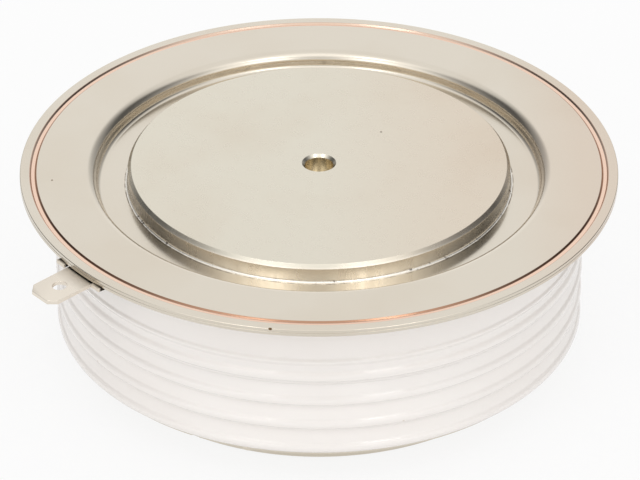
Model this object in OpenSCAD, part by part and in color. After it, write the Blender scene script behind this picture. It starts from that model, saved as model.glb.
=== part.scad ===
// Disc thyristor: a silicon stack between two copper poles, sealed in a ribbed
// ceramic housing with flexible sheet flanges. Millimetres.
// The origin is the centre of the anode contact face. +Z runs up the stack to
// the cathode contact face, the cathode terminal points to -Y and the gate
// terminal to -X.

/* [Contact poles] */
// Diameter of the flat contact face on each pole
contact_d = 47; // [43:0.5:50]
// Width of the bevel turned round each contact face
pole_bevel_w = 0.5; // [0.2:0.1:0.8]
// Height of that bevel
pole_bevel_h = 0.6; // [0.3:0.05:0.6]
// Height of the cathode pole
cathode_pole_h = 12; // [11:0.5:15]
// Height of the anode pole
anode_pole_h = 10; // [8:0.5:13]
// Width of the shoulder that carries a flange sheet
collar_w = 1.5; // [1:0.1:2]
// Height of that shoulder
collar_h = 2; // [1:0.1:2.6]
// Depth of the step turned on each pole for the centring ring
neck_step = 0.5; // [0.4:0.1:1]
// Height of that step on the cathode pole
cathode_neck_h = 2.5; // [1:0.1:3]
// Height of that step on the anode pole
anode_neck_h = 2.5; // [1:0.1:3.5]
// Diameter of the blind centring hole in each contact face
centre_hole_d = 3.6; // [3:0.1:5]
// Depth of that hole
centre_hole_depth = 2; // [1.5:0.1:3]
// Chamfer at the mouth of that hole
centre_hole_chamfer = 0.35; // [0.1:0.05:0.5]

/* [Flange sheets] */
// Thickness of the cathode flange
lid_t = 0.45; // [0.35:0.05:0.6]
// Thickness of the weld ring under it
weld_ring_t = 0.45; // [0.35:0.05:0.6]
// Thickness of the anode flange
anode_sheet_t = 0.45; // [0.3:0.05:0.6]
// Reach of the weld rim beyond the ceramic
rim_reach = 4.15; // [3.8:0.05:6]
// Radius that breaks the outer edge of the weld rim
rim_edge_r = 0.1; // [0.05:0.01:0.15]
// Height of the cathode contact face above the cathode flange
cathode_stand = 0.45; // [0.2:0.05:1]
// Height of the anode contact face below the anode flange
anode_stand = 0.6; // [0.3:0.05:1]
// Depth of the channel pressed round the cathode pole
channel_depth = 1.95; // [1.75:0.05:2.1]
// Slope of the channel's outer wall in degrees
channel_slope = 80; // [66:1:84]
// Radius of the soft bend at the top of that wall
channel_bend_r = 1.35; // [1.1:0.05:1.5]
// Radius of the bend at the foot of that wall
channel_foot_r = 0.6; // [0.3:0.05:0.75]
// Distance the flat rim starts outside the ceramic's bore
channel_offset = 0.3; // [0.1:0.05:0.6]
// Drop from the anode flange's rim to its flat bottom
cup_drop = 3.35; // [2.4:0.05:3.6]
// Clearance from the anode flange's cup to the line of the ceramic's bore
cup_inset = 0.5; // [0.3:0.1:0.8]
// Outside radius of the cup's bottom corner
cup_corner_r = 0.8; // [0.65:0.05:1]
// Radius of the bend between that cup and its rim
cup_bend_r = 0.8; // [0.5:0.05:1]
// Distance the anode flange's rim stays inside the ceramic's ribs
anode_rim_inset = 1.15; // [0.9:0.05:1.4]

/* [Weld groove] */
// Distance from the rim's edge to the middle of the groove
groove_inset = 1.66; // [1.2:0.02:2.2]
// Width of the groove at its mouth
groove_w = 0.85; // [0.65:0.05:1.2]
// Width of the groove's floor
groove_floor_w = 0.6; // [0.3:0.05:0.6]
// Depth of the groove in each sheet
groove_depth = 0.28; // [0.1:0.02:0.3]

/* [Brazed joints] */
// Thickness of the brazing foil on the ceramic's end faces
foil_t = 0.1; // [0.05:0.05:0.2]
// Distance the foil stays inside the faces that it joins
foil_inset = 0.3; // [0.1:0.05:0.4]
// Size of the brazed fillet between each pole and its flange
fillet_leg = 0.26; // [0.16:0.02:0.4]

/* [Ceramic housing] */
// Free width between the poles' shoulders and the ceramic
annular_gap = 3.5; // [3.2:0.1:5]
// Wall of the ceramic over its ribs
ceramic_wall = 4.35; // [4:0.05:6]
// Height of the plain band above its lip
band_h = 6.45; // [6:0.05:7]
// Radius of the lip under the plain band
band_lip_r = 0.35; // [0.25:0.05:0.45]
// Distance from the band's lip down to the first rib's lip
band_rib_gap = 2.33; // [2.1:0.01:3]
// Height of the plain foot below the ribs
foot_h = 0.14; // [0.1:0.02:0.5]
// Number of ribs
rib_count = 4; // [3:1:5]
// Depth of the ribs
rib_depth = 0.85; // [0.6:0.05:1]
// Radius of the lip of each rib
lip_r = 0.75; // [0.6:0.05:0.85]
// Radius of the hollows above and below each lip
hollow_r = 0.45; // [0.3:0.05:0.5]
// Depth of the shallow valley under the band
band_valley_depth = 0.35; // [0.25:0.05:0.45]
// Chamfer on the ceramic's top edge
ceramic_chamfer = 0.3; // [0.2:0.05:0.4]

/* [Semiconductor stack] */
// Thickness of the anode disc
anode_disc_t = 2; // [1:0.1:3]
// Thickness of the silicon wafer
wafer_t = 0.5; // [0.3:0.05:0.8]
// Thickness of the cathode disc
cathode_disc_t = 1.5; // [1:0.1:3]
// Distance the wafer stays inside the edge of the anode disc
wafer_inset = 0.9; // [0.6:0.1:1.4]
// Distance the cathode disc stays inside the wafer's edge
cathode_disc_inset = 2.1; // [1.6:0.1:3]
// Bevel ground on the wafer's edge
wafer_bevel = 0.2; // [0.1:0.02:0.24]
// Height of the rubber edge seal above the wafer
edge_seal_h = 0.7; // [0.4:0.1:0.9]
// Chamfer on the edge seal
edge_seal_chamfer = 0.3; // [0.1:0.05:0.4]
// Clearance between the edge seal and the cathode disc
edge_seal_gap = 0.5; // [0.3:0.1:0.8]
// Clearance between the centring ring and what it centres
ring_clearance = 0.1; // [0.05:0.05:0.2]
// Overlap of the centring ring on the cathode pole
ring_overlap = 0.45; // [0.2:0.05:0.6]
// Free width between the centring ring and the ceramic
ring_gap = 0.4; // [0.2:0.1:1]

/* [Gate contact] */
// Diameter of the bore in the cathode pole for the gate contact
gate_bore_d = 7; // [6.6:0.2:9]
// Depth of that bore
gate_bore_depth = 6.5; // [6:0.1:7]
// Wall of the insulating cup in that bore
cup_wall = 1; // [0.8:0.1:1.2]
// Clearance round the insulating cup
cup_fit = 0.05; // [0.02:0.01:0.1]
// Diameter of the gate pin's tip on the wafer
gate_tip_d = 2; // [1.6:0.1:2.4]
// Clearance between that tip and the cathode disc
gate_tip_gap = 1.4; // [1:0.1:1.4]
// Thickness of the gate pin's head
gate_head_t = 1; // [1:0.1:1.4]
// Clearance between the gate pin's head and the cup
gate_head_fit = 0.2; // [0.1:0.05:0.3]
// Distance the lead reaches into the gate pin's head
lead_socket = 1.2; // [0.8:0.1:1.5]
// Diameter of the gate spring's wire
spring_wire_d = 0.5; // [0.3:0.05:0.5]
// Number of turns of the gate spring
spring_turns = 4; // [3:1:4]

/* [Gate lead] */
// Diameter of the gate lead
lead_d = 0.8; // [0.5:0.05:0.9]
// Wall of the sleeve on the gate lead
sleeve_wall = 0.35; // [0.2:0.05:0.4]
// Clearance between the lead and its sleeve
sleeve_fit = 0.05; // [0.02:0.01:0.08]
// Radius of the two bends in the gate lead
lead_bend_r = 1.3; // [1.2:0.05:1.4]
// Clearance between the sleeve and what it passes
lead_clearance = 0.3; // [0.1:0.05:0.4]

/* [Gate terminal] */
// Distance from the ceramic's top face down to the gate tube's axis
gate_drop = 3; // [2.8:0.1:3.4]
// Outside diameter of the gate tube
gate_tube_d = 3; // [3:0.1:3.4]
// Wall of the gate tube
gate_tube_wall = 0.5; // [0.3:0.05:0.5]
// Distance the gate tube stands out of the ceramic
gate_tube_reach = 2.6; // [2.2:0.1:4]
// Distance the gate tube stands into the ceramic's bore
gate_tube_inner = 0.3; // [0.1:0.1:0.4]
// Distance from the ceramic to the gate terminal's eyelet
gate_eye_gap = 1; // [0.6:0.1:1.2]
// Width of the eyelet's rim round the tube
gate_eye_rim = 1.05; // [0.8:0.05:1.2]
// Width of the gate blade
gate_blade_w = 2.8; // [2.4:0.1:4]
// Thickness of the gate terminal's sheet
gate_blade_t = 0.5; // [0.4:0.05:0.8]
// Length of the gate blade
gate_blade_l = 6.6; // [5.5:0.1:8]
// Diameter of the hole in the gate blade
gate_hole_d = 1.2; // [1:0.1:1.5]
// Distance from the gate blade's end to that hole
gate_hole_inset = 2.2; // [1.8:0.1:2.6]
// Corner cut at the gate blade's end
gate_chamfer = 0.6; // [0.3:0.05:0.8]
// Inside radius of the gate terminal's bend
gate_bend_r = 0.4; // [0.3:0.05:0.6]
// Distance the solder bead stands past the tube's end
solder_reach = 0.5; // [0.3:0.1:0.8]
// Width of the solder bead round the tube
solder_w = 0.6; // [0.4:0.05:0.8]

/* [Cathode terminal] */
// Width of the cathode blade
tab_w = 4.8; // [4:0.1:6]
// Thickness of the cathode blade
tab_t = 0.5; // [0.4:0.05:0.8]
// Reach of the cathode blade beyond the weld rim
tab_reach = 6.1; // [5:0.1:10]
// Drop of the blade below its foot
tab_drop = 0.65; // [0.4:0.05:1.2]
// Length of the step between the foot and the blade
tab_step_l = 1; // [0.8:0.1:1.5]
// Width of the foot under the weld rim
tab_foot_w = 8.5; // [7.4:0.1:10]
// Distance the foot stands out past the weld rim
tab_foot_reach = 0.3; // [0.1:0.05:0.5]
// Length of the foot under the weld rim
tab_foot_l = 3.3; // [2.5:0.1:3.5]
// Width of the relief slits beside the blade's root
tab_slit_w = 0.35; // [0.2:0.05:0.5]
// Length of those slits
tab_slit_l = 1.1; // [0.6:0.1:1.4]
// Corner cut at the blade's end
tab_chamfer = 0.95; // [0.5:0.05:1.2]
// Diameter of the hole in the blade
tab_hole_d = 1.8; // [1.2:0.1:2.4]
// Distance from the blade's end to that hole
tab_hole_inset = 3.1; // [2.5:0.1:3.4]

/* [Hidden] */

$fn = 120;
// Straight steps in a quarter turn of a rounded outline
quarter_steps = 10;
// Distance that a cut runs past the face it opens
cut = 1;

// Radii of the poles and of everything stacked outside them
face_r = contact_d / 2;
pole_r = face_r + pole_bevel_w;
neck_r = pole_r - neck_step;
collar_r = pole_r + collar_w;
bore_r = collar_r + annular_gap;
ceramic_r = bore_r + ceramic_wall;
rim_r = ceramic_r + rim_reach;
groove_mid_r = rim_r - groove_inset;
channel_r = bore_r + channel_offset;
cup_r = bore_r - cup_inset;
anode_rim_r = ceramic_r - anode_rim_inset;

// Levels of the stack, from the anode contact face up
wafer_z = anode_pole_h + anode_disc_t;
cathode_disc_z = wafer_z + wafer_t;
cathode_pole_z = cathode_disc_z + cathode_disc_t;
total_h = cathode_pole_z + cathode_pole_h;

// Levels of the housing
lid_top_z = total_h - cathode_stand;
weld_z = lid_top_z - lid_t;
weld_ring_z = weld_z - weld_ring_t;
ceramic_top_z = weld_ring_z - foil_t;
channel_z = lid_top_z - channel_depth;
cathode_seat_z = channel_z - lid_t;
anode_seat_z = anode_stand + anode_sheet_t;
anode_rim_z = anode_stand + cup_drop;
ceramic_foot_z = anode_rim_z + anode_sheet_t + foil_t;

// Ribs of the ceramic, counted from the lowest up
rib_under_a = 60;
rib_nose_a = 50;
band_under_a = 30;
band_r = ceramic_r - 2 * band_lip_r * (1 - cos(rib_nose_a));
lowest_lip_z = ceramic_foot_z + foot_h + lip_r;
band_lip_z = ceramic_top_z - band_h;
rib_pitch = (band_lip_z - band_rib_gap - lowest_lip_z) / (rib_count - 1);

// Edge of the wafer and its centring
wafer_r = neck_r - wafer_inset;
cathode_disc_r = wafer_r - cathode_disc_inset;
ring_r = neck_r + ring_clearance;
ring_z = anode_pole_h - anode_neck_h;
ring_top_z = cathode_pole_z + ring_overlap;

// Gate contact in the lower bore of the cathode pole
gate_bore_r = gate_bore_d / 2;
gate_ceiling_z = cathode_pole_z + gate_bore_depth;
cup_outer_r = gate_bore_r - cup_fit;
cup_inner_r = cup_outer_r - cup_wall;
cup_ceiling_z = gate_ceiling_z - cup_wall;
lead_r = lead_d / 2;
sleeve_inner_r = lead_r + sleeve_fit;
sleeve_r = sleeve_inner_r + sleeve_wall;
lead_low_z = ring_top_z + lead_clearance + sleeve_r;
slot_w = 2 * (sleeve_r + lead_clearance);
slot_top_z = lead_low_z + slot_w / 2;
gate_head_r = cup_inner_r - gate_head_fit;
gate_head_z = lead_low_z - gate_head_t / 2;
spring_z = gate_head_z + gate_head_t;
spring_wire_r = spring_wire_d / 2;
spring_r = gate_head_r - spring_wire_r;

// Gate lead and terminal, as distances from the axis towards -X
gate_z = ceramic_top_z - gate_drop;
gate_tube_r = gate_tube_d / 2;
gate_tube_bore_r = gate_tube_r - gate_tube_wall;
gate_tube_end_x = ceramic_r + gate_tube_reach;
lead_in_x = gate_head_r - lead_socket;
lead_turn_x = collar_r + lead_clearance + sleeve_r;
lead_end_x = gate_tube_end_x + solder_reach;
sleeve_end_x = bore_r + ceramic_wall / 2;
gate_eye_x = ceramic_r + gate_eye_gap;
gate_eye_r = gate_tube_r + gate_eye_rim;
gate_tip_x = gate_eye_x + gate_blade_l;
gate_blade_z = gate_z - gate_eye_r;

// Cathode terminal, as distances from the axis towards -Y
tab_tip_y = rim_r + tab_reach;
tab_foot_y = rim_r + tab_foot_reach;
tab_root_y = tab_foot_y - tab_slit_l;
tab_blade_y = tab_root_y + tab_step_l;
tab_inner_y = rim_r - tab_foot_l;
tab_blade_z = weld_ring_z - tab_drop;

nickel = [0.84, 0.81, 0.76];
copper = [0.75, 0.48, 0.35];
glaze = [0.96, 0.95, 0.94];
braze_metal = [0.80, 0.77, 0.70];
molybdenum = [0.58, 0.58, 0.60];
silicon = [0.28, 0.30, 0.36];
clear_rubber = [0.80, 0.80, 0.76];
white_plastic = [0.92, 0.92, 0.90];
spring_steel = [0.62, 0.63, 0.65];
red_sleeve = [0.66, 0.20, 0.16];
solder = [0.72, 0.73, 0.75];

// Points of an arc about c, from angle a to angle b in degrees
function arc(c, r, a, b) =
    let (steps = ceil(abs(b - a) / 90 * quarter_steps))
    [for (i = [0:steps]) c + r * [cos(a + (b - a) * i / steps), sin(a + (b - a) * i / steps)]];

// A direction at angle a in degrees
function along(a) = [cos(a), sin(a)];

// A solid of revolution about Z, from an outline of radius and height
module turned(outline) {
    rotate_extrude()
        polygon(outline);
}

// A round bar on the Z axis between two heights
module bar(r, z0, z1) {
    translate([0, 0, z0])
        cylinder(r = r, h = z1 - z0);
}

// Puts what is drawn on the Z axis on a line towards -X at height z
module toward_gate(z) {
    translate([0, 0, z])
        rotate([0, -90, 0])
            children();
}

// Puts an outline of distance and height upright, facing -Y, with a width in X
module upright_to_front(width) {
    rotate([0, 0, -90])
        rotate([90, 0, 0])
            translate([0, 0, -width / 2])
                linear_extrude(height = width)
                    children();
}

// Puts an outline of distance and height upright, facing -X, with a width in Y
module upright_to_side(width) {
    rotate([0, 0, 180])
        rotate([90, 0, 0])
            translate([0, 0, -width / 2])
                linear_extrude(height = width)
                    children();
}

// The housing's cathode side

// Points of the weld groove from inside out, between its mouth and its floor
function groove_points(mouth_z, floor_z) = [
    [groove_mid_r - groove_w / 2, mouth_z],
    [groove_mid_r - groove_floor_w / 2, floor_z],
    [groove_mid_r + groove_floor_w / 2, floor_z],
    [groove_mid_r + groove_w / 2, mouth_z]
];

// Pressed section of the cathode flange: a soft bend, a straight and a foot
wall_a = 90 + channel_slope;
bend_c = [channel_r, lid_top_z - channel_bend_r];
bend_end = bend_c + channel_bend_r * along(wall_a);
foot_end_z = channel_z + channel_foot_r * (1 - cos(channel_slope));
wall_l = (bend_end[1] - foot_end_z) / sin(channel_slope);
foot_c = bend_end - wall_l * along(channel_slope) + channel_foot_r * along(wall_a);

module cathode_flange() {
    rim_edge_c = [rim_r - rim_edge_r, lid_top_z - rim_edge_r];
    outline = concat(
        [[pole_r, channel_z]],
        arc(foot_c, channel_foot_r, 270, wall_a + 180),
        arc(bend_c, channel_bend_r, wall_a, 90),
        groove_points(lid_top_z, lid_top_z - groove_depth),
        arc(rim_edge_c, rim_edge_r, 90, 0),
        [[rim_r, weld_z]],
        arc(bend_c, channel_bend_r - lid_t, 90, wall_a),
        arc(foot_c, channel_foot_r + lid_t, wall_a + 180, 270),
        [[pole_r, cathode_seat_z]]
    );
    color(nickel)
        turned(outline);
}

module weld_ring() {
    rim_edge_c = [rim_r - rim_edge_r, weld_ring_z + rim_edge_r];
    inner_r = channel_r + foil_inset;
    outline = concat(
        [[inner_r, weld_z], [inner_r, weld_ring_z]],
        groove_points(weld_ring_z, weld_ring_z + groove_depth),
        arc(rim_edge_c, rim_edge_r, -90, 0),
        [[rim_r, weld_z]]
    );
    color(nickel)
        turned(outline);
}

// Outline of a pole that stands on its contact face at height 0
function pole_outline(height, seat_z, neck_h) = [
    [0, 0], [face_r, 0], [pole_r, pole_bevel_h],
    [pole_r, seat_z], [collar_r, seat_z],
    [collar_r, seat_z + collar_h], [pole_r, seat_z + collar_h],
    [pole_r, height - neck_h], [neck_r, height - neck_h],
    [neck_r, height], [0, height]
];

// The blind hole in a contact face at height 0, bored upwards
module centring_hole() {
    hole_r = centre_hole_d / 2;
    bar(hole_r, -cut, centre_hole_depth);
    cylinder(r1 = hole_r + centre_hole_chamfer, r2 = hole_r, h = centre_hole_chamfer);
}

// A pole with its centring hole, standing on its contact face
module pole(height, seat_z, neck_h) {
    difference() {
        turned(pole_outline(height, seat_z, neck_h));
        centring_hole();
    }
}

module cathode_pole() {
    color(nickel)
        difference() {
            translate([0, 0, total_h])
                mirror([0, 0, 1])
                    pole(cathode_pole_h, total_h - cathode_seat_z, cathode_neck_h);
            bar(gate_bore_r, cathode_pole_z - cut, gate_ceiling_z);
            translate([-pole_r - cut, -slot_w / 2, cathode_pole_z - cut])
                cube([pole_r + cut, slot_w, slot_top_z - cathode_pole_z + cut]);
        }
}

// A hollow fillet of brazing alloy round radius r, standing on height 0
module braze_fillet(r) {
    color(braze_metal)
        turned(concat([[r, 0]], arc([r + fillet_leg, fillet_leg], fillet_leg, 270, 180)));
}

module cathode_pole_braze() {
    translate([0, 0, channel_z])
        braze_fillet(pole_r);
}

// A flat ring of brazing foil, standing on height 0
module braze_foil(inner_r, outer_r) {
    color(braze_metal)
        difference() {
            bar(outer_r, 0, foil_t);
            bar(inner_r, -cut, foil_t + cut);
        }
}

module housing_top_braze() {
    translate([0, 0, ceramic_top_z])
        braze_foil(channel_r + foil_inset, band_r - ceramic_chamfer - foil_inset);
}

// Centre of the hollow under a lip of radius r, for a depth and an underside angle
function valley_c(lip_z, r, depth, under_a) =
    let (reach = r + hollow_r)
    [
        ceramic_r - depth + hollow_r,
        lip_z - (reach - (reach - depth) * cos(under_a)) / sin(under_a)
    ];

// A rib from its lip up to the valley above. It turns over the lip's nose into a
// hollow, slopes inwards and turns out again to the underside of the next lip
function rib(lip_z, next_valley_c, next_under_a) =
    let (
        lip_c = [ceramic_r - lip_r, lip_z],
        nose_c = lip_c + (lip_r + hollow_r) * along(rib_nose_a),
        rise = next_valley_c - nose_c,
        flank_a = atan2(-rise[0], rise[1])
    )
    concat(
        arc(lip_c, lip_r, -rib_under_a, rib_nose_a),
        arc(nose_c, hollow_r, 180 + rib_nose_a, 180 + flank_a),
        arc(next_valley_c, hollow_r, 180 + flank_a, 180 - next_under_a)
    );

// The plain band's lip, which turns up into the band's wall
function band_lip(lip_c) = concat(
    arc(lip_c, band_lip_r, -band_under_a, rib_nose_a),
    arc(lip_c + 2 * band_lip_r * along(rib_nose_a), band_lip_r, 180 + rib_nose_a, 180)
);

module ceramic_housing() {
    rib_zs = [for (i = [0:rib_count - 1]) lowest_lip_z + i * rib_pitch];
    outline = concat(
        [[bore_r, ceramic_foot_z], [ceramic_r - rib_depth, ceramic_foot_z]],
        [
            for (i = [0:rib_count - 2])
                each rib(rib_zs[i], valley_c(rib_zs[i + 1], lip_r, rib_depth, rib_under_a), rib_under_a)
        ],
        rib(
            rib_zs[rib_count - 1],
            valley_c(band_lip_z, band_lip_r, band_valley_depth, band_under_a),
            band_under_a
        ),
        band_lip([ceramic_r - band_lip_r, band_lip_z]),
        [
            [band_r, ceramic_top_z - ceramic_chamfer],
            [band_r - ceramic_chamfer, ceramic_top_z], [bore_r, ceramic_top_z]
        ]
    );
    color(glaze)
        difference() {
            turned(outline);
            toward_gate(gate_z)
                bar(gate_tube_r, bore_r - cut, ceramic_r + cut);
        }
}

// The housing's anode side

module housing_bottom_braze() {
    inner_r = max(bore_r, cup_r + cup_bend_r) + foil_inset;
    translate([0, 0, ceramic_foot_z - foil_t])
        braze_foil(inner_r, anode_rim_r - foil_inset);
}

module anode_flange() {
    corner_c = [cup_r - cup_corner_r, anode_stand + cup_corner_r];
    turn_c = [cup_r + cup_bend_r, anode_rim_z - cup_bend_r];
    outline = concat(
        [[pole_r, anode_stand]],
        arc(corner_c, cup_corner_r, -90, 0),
        arc(turn_c, cup_bend_r, 180, 90),
        [[anode_rim_r, anode_rim_z], [anode_rim_r, anode_rim_z + anode_sheet_t]],
        arc(turn_c, cup_bend_r + anode_sheet_t, 90, 180),
        arc(corner_c, cup_corner_r - anode_sheet_t, 0, -90),
        [[pole_r, anode_seat_z]]
    );
    color(nickel)
        turned(outline);
}

module anode_pole() {
    color(nickel)
        pole(anode_pole_h, anode_seat_z, anode_neck_h);
}

module anode_pole_braze() {
    translate([0, 0, anode_seat_z])
        braze_fillet(collar_r);
}

// The semiconductor stack

module anode_disc() {
    color(molybdenum)
        bar(neck_r, anode_pole_h, wafer_z);
}

module silicon_wafer() {
    color(silicon)
        turned([
            [0, wafer_z], [wafer_r, wafer_z],
            [wafer_r - wafer_bevel, cathode_disc_z], [0, cathode_disc_z]
        ]);
}

module edge_seal() {
    inner_r = cathode_disc_r + edge_seal_gap;
    outer_r = neck_r - ring_clearance;
    top_z = cathode_disc_z + edge_seal_h;
    color(clear_rubber)
        turned([
            [wafer_r, wafer_z], [outer_r, wafer_z],
            [outer_r, top_z - edge_seal_chamfer], [outer_r - edge_seal_chamfer, top_z],
            [inner_r + edge_seal_chamfer, top_z], [inner_r, top_z - edge_seal_chamfer],
            [inner_r, cathode_disc_z], [wafer_r - wafer_bevel, cathode_disc_z]
        ]);
}

module cathode_disc() {
    color(molybdenum)
        difference() {
            bar(cathode_disc_r, cathode_disc_z, cathode_pole_z);
            bar(gate_tip_d / 2 + gate_tip_gap, cathode_disc_z - cut, cathode_pole_z + cut);
        }
}

module centring_ring() {
    color(white_plastic)
        difference() {
            bar(bore_r - ring_gap, ring_z, ring_top_z);
            bar(ring_r, ring_z - cut, ring_top_z + cut);
        }
}

// The gate contact

module gate_cup() {
    color(white_plastic)
        difference() {
            bar(cup_outer_r, cathode_pole_z, gate_ceiling_z);
            bar(cup_inner_r, cathode_pole_z - cut, cup_ceiling_z);
            translate([-cup_outer_r - cut, -slot_w / 2, cathode_pole_z - cut])
                cube([cup_outer_r + cut, slot_w, slot_top_z - cathode_pole_z + cut]);
        }
}

// Rings of points along the coil, whose ends lie flat on their seats
spring_ring_steps = 24;
spring_sides = 8;
spring_flat_turns = 0.42;
spring_rise = cup_ceiling_z - spring_z - spring_wire_d;

// Height of the coil's centre line after a number of turns
function coil_z(turn) =
    let (share = (turn - spring_flat_turns) / (spring_turns - 2 * spring_flat_turns))
    spring_z + spring_wire_r + spring_rise * min(1, max(0, share));

module gate_spring() {
    rings = spring_turns * spring_ring_steps;
    points = [
        for (i = [0:rings], j = [0:spring_sides - 1])
            let (
                spin = 360 * i / spring_ring_steps,
                side = 360 * (j + 0.5) / spring_sides,
                r = spring_r + spring_wire_r * cos(side)
            )
            [r * cos(spin), r * sin(spin), coil_z(i / spring_ring_steps) + spring_wire_r * sin(side)]
    ];
    skin = [
        for (i = [0:rings - 1], j = [0:spring_sides - 1])
            let (
                a = i * spring_sides + j,
                b = i * spring_sides + (j + 1) % spring_sides
            )
            each [[a, b, b + spring_sides], [a, b + spring_sides, a + spring_sides]]
    ];
    start_cap = [for (j = [spring_sides - 1:-1:0]) j];
    end_cap = [for (j = [0:spring_sides - 1]) rings * spring_sides + j];
    color(spring_steel)
        polyhedron(points = points, faces = concat(skin, [start_cap, end_cap]));
}

module gate_pin() {
    color(copper)
        difference() {
            union() {
                bar(gate_tip_d / 2, cathode_disc_z, gate_head_z);
                bar(gate_head_r, gate_head_z, spring_z);
            }
            toward_gate(lead_low_z)
                bar(lead_r, lead_in_x, gate_head_r + cut);
        }
}

// A quarter bend of round section in the XZ plane, about the origin
module elbow(outer, inner) {
    rotate([90, 0, 0])
        rotate_extrude(angle = 90)
            translate([lead_bend_r, 0])
                difference() {
                    circle(r = outer);
                    if (inner > 0)
                        circle(r = inner);
                }
}

// Round section, hollow if it has an inner radius, between two distances
module run(outer, inner, from, to) {
    difference() {
        bar(outer, from, to);
        if (inner > 0)
            bar(inner, from - cut, to + cut);
    }
}

// The lead's route: in from the pin, up beside the pole and out by the tube
module route(outer, inner, from, to) {
    toward_gate(lead_low_z)
        run(outer, inner, from, lead_turn_x - lead_bend_r);
    translate([lead_bend_r - lead_turn_x, 0, lead_low_z + lead_bend_r])
        rotate([0, 0, 180])
            mirror([0, 0, 1])
                elbow(outer, inner);
    translate([-lead_turn_x, 0, 0])
        run(outer, inner, lead_low_z + lead_bend_r, gate_z - lead_bend_r);
    translate([-lead_turn_x - lead_bend_r, 0, gate_z - lead_bend_r])
        elbow(outer, inner);
    toward_gate(gate_z)
        run(outer, inner, lead_turn_x + lead_bend_r, to);
}

module gate_lead() {
    color(copper)
        route(lead_r, 0, lead_in_x, lead_end_x);
}

module gate_sleeve() {
    color(red_sleeve)
        route(sleeve_r, sleeve_inner_r, cup_outer_r, sleeve_end_x);
}

// The gate terminal

module gate_tube() {
    color(nickel)
        toward_gate(gate_z)
            run(gate_tube_r, gate_tube_bore_r, bore_r - gate_tube_inner, gate_tube_end_x);
}

module gate_terminal() {
    bend_z = gate_blade_z + gate_bend_r;
    bend_x = gate_eye_x + gate_blade_t + gate_bend_r;
    side = concat(
        [[gate_eye_x, gate_z]],
        arc([bend_x, bend_z], gate_bend_r + gate_blade_t, 180, 270),
        [[gate_tip_x, gate_blade_z - gate_blade_t], [gate_tip_x, gate_blade_z]],
        arc([bend_x, bend_z], gate_bend_r, 270, 180),
        [[gate_eye_x + gate_blade_t, gate_z]]
    );
    color(nickel)
        difference() {
            union() {
                upright_to_side(gate_blade_w)
                    polygon(side);
                toward_gate(gate_z)
                    bar(gate_eye_r, gate_eye_x, gate_eye_x + gate_blade_t);
            }
            toward_gate(gate_z)
                bar(gate_tube_r, gate_eye_x - cut, gate_eye_x + gate_blade_t + cut);
            translate([gate_hole_inset - gate_tip_x, 0, 0])
                bar(gate_hole_d / 2, gate_blade_z - gate_blade_t - cut, gate_blade_z + cut);
            translate([-gate_tip_x, 0, gate_blade_z - gate_blade_t - cut])
                tip_corners(gate_blade_w, gate_chamfer, gate_blade_t + 2 * cut);
        }
}

// Two triangles that cut the corners of a blade whose tip is at -X
module tip_corners(width, size, height) {
    for (side = [-1, 1])
        linear_extrude(height = height)
            polygon([
                [-cut, side * (width / 2 - size - cut)],
                [size + cut, side * (width / 2 + cut)],
                [-cut, side * (width / 2 + cut)]
            ]);
}

module gate_solder() {
    start_x = gate_eye_x + gate_blade_t;
    color(solder)
        toward_gate(gate_z)
            turned([
                [gate_tube_r, start_x], [gate_tube_r + solder_w, start_x],
                [gate_tube_r + solder_w / 2, gate_tube_end_x],
                [lead_r + solder_w / 2, lead_end_x], [lead_r, lead_end_x],
                [lead_r, gate_tube_end_x], [gate_tube_r, gate_tube_end_x]
            ]);
}

// The cathode terminal

module cathode_terminal() {
    foot_z = weld_ring_z - tab_t;
    side = [
        [tab_inner_y, weld_ring_z], [tab_root_y, weld_ring_z],
        [tab_blade_y, tab_blade_z], [tab_tip_y, tab_blade_z],
        [tab_tip_y, tab_blade_z - tab_t], [tab_blade_y, tab_blade_z - tab_t],
        [tab_root_y, foot_z], [tab_inner_y, foot_z]
    ];
    color(nickel)
        difference() {
            union() {
                upright_to_front(tab_w)
                    polygon(side);
                for (s = [-1, 1])
                    translate([s * (tab_foot_w + tab_w + 2 * tab_slit_w) / 4, 0, foot_z])
                        foot_wing();
                translate([-tab_foot_w / 2, -tab_root_y, foot_z])
                    cube([tab_foot_w, tab_root_y - tab_inner_y, tab_t]);
            }
            translate([0, tab_hole_inset - tab_tip_y, 0])
                bar(tab_hole_d / 2, tab_blade_z - tab_t - cut, tab_blade_z + cut);
            translate([0, -tab_tip_y, tab_blade_z - tab_t - cut])
                rotate([0, 0, 90])
                    tip_corners(tab_w, tab_chamfer, tab_t + 2 * cut);
        }
}

// Part of the foot outside a relief slit
module foot_wing() {
    wing_w = (tab_foot_w - tab_w) / 2 - tab_slit_w;
    translate([-wing_w / 2, -tab_foot_y, 0])
        cube([wing_w, tab_foot_y - tab_inner_y, tab_t]);
}

cathode_flange();
weld_ring();
cathode_pole();
cathode_pole_braze();
housing_top_braze();
ceramic_housing();
housing_bottom_braze();
anode_flange();
anode_pole();
anode_pole_braze();
anode_disc();
silicon_wafer();
edge_seal();
cathode_disc();
centring_ring();
gate_cup();
gate_spring();
gate_pin();
gate_lead();
gate_sleeve();
gate_tube();
gate_terminal();
gate_solder();
cathode_terminal();
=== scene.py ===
"""Looks of a disc thyristor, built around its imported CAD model.

The sections follow the cell as it is put together. Each holds its piece's
sizes, shape, finish and place. Sizes are in millimetres, as in the part's own
source, and meshes are in metres.
"""
import math

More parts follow.
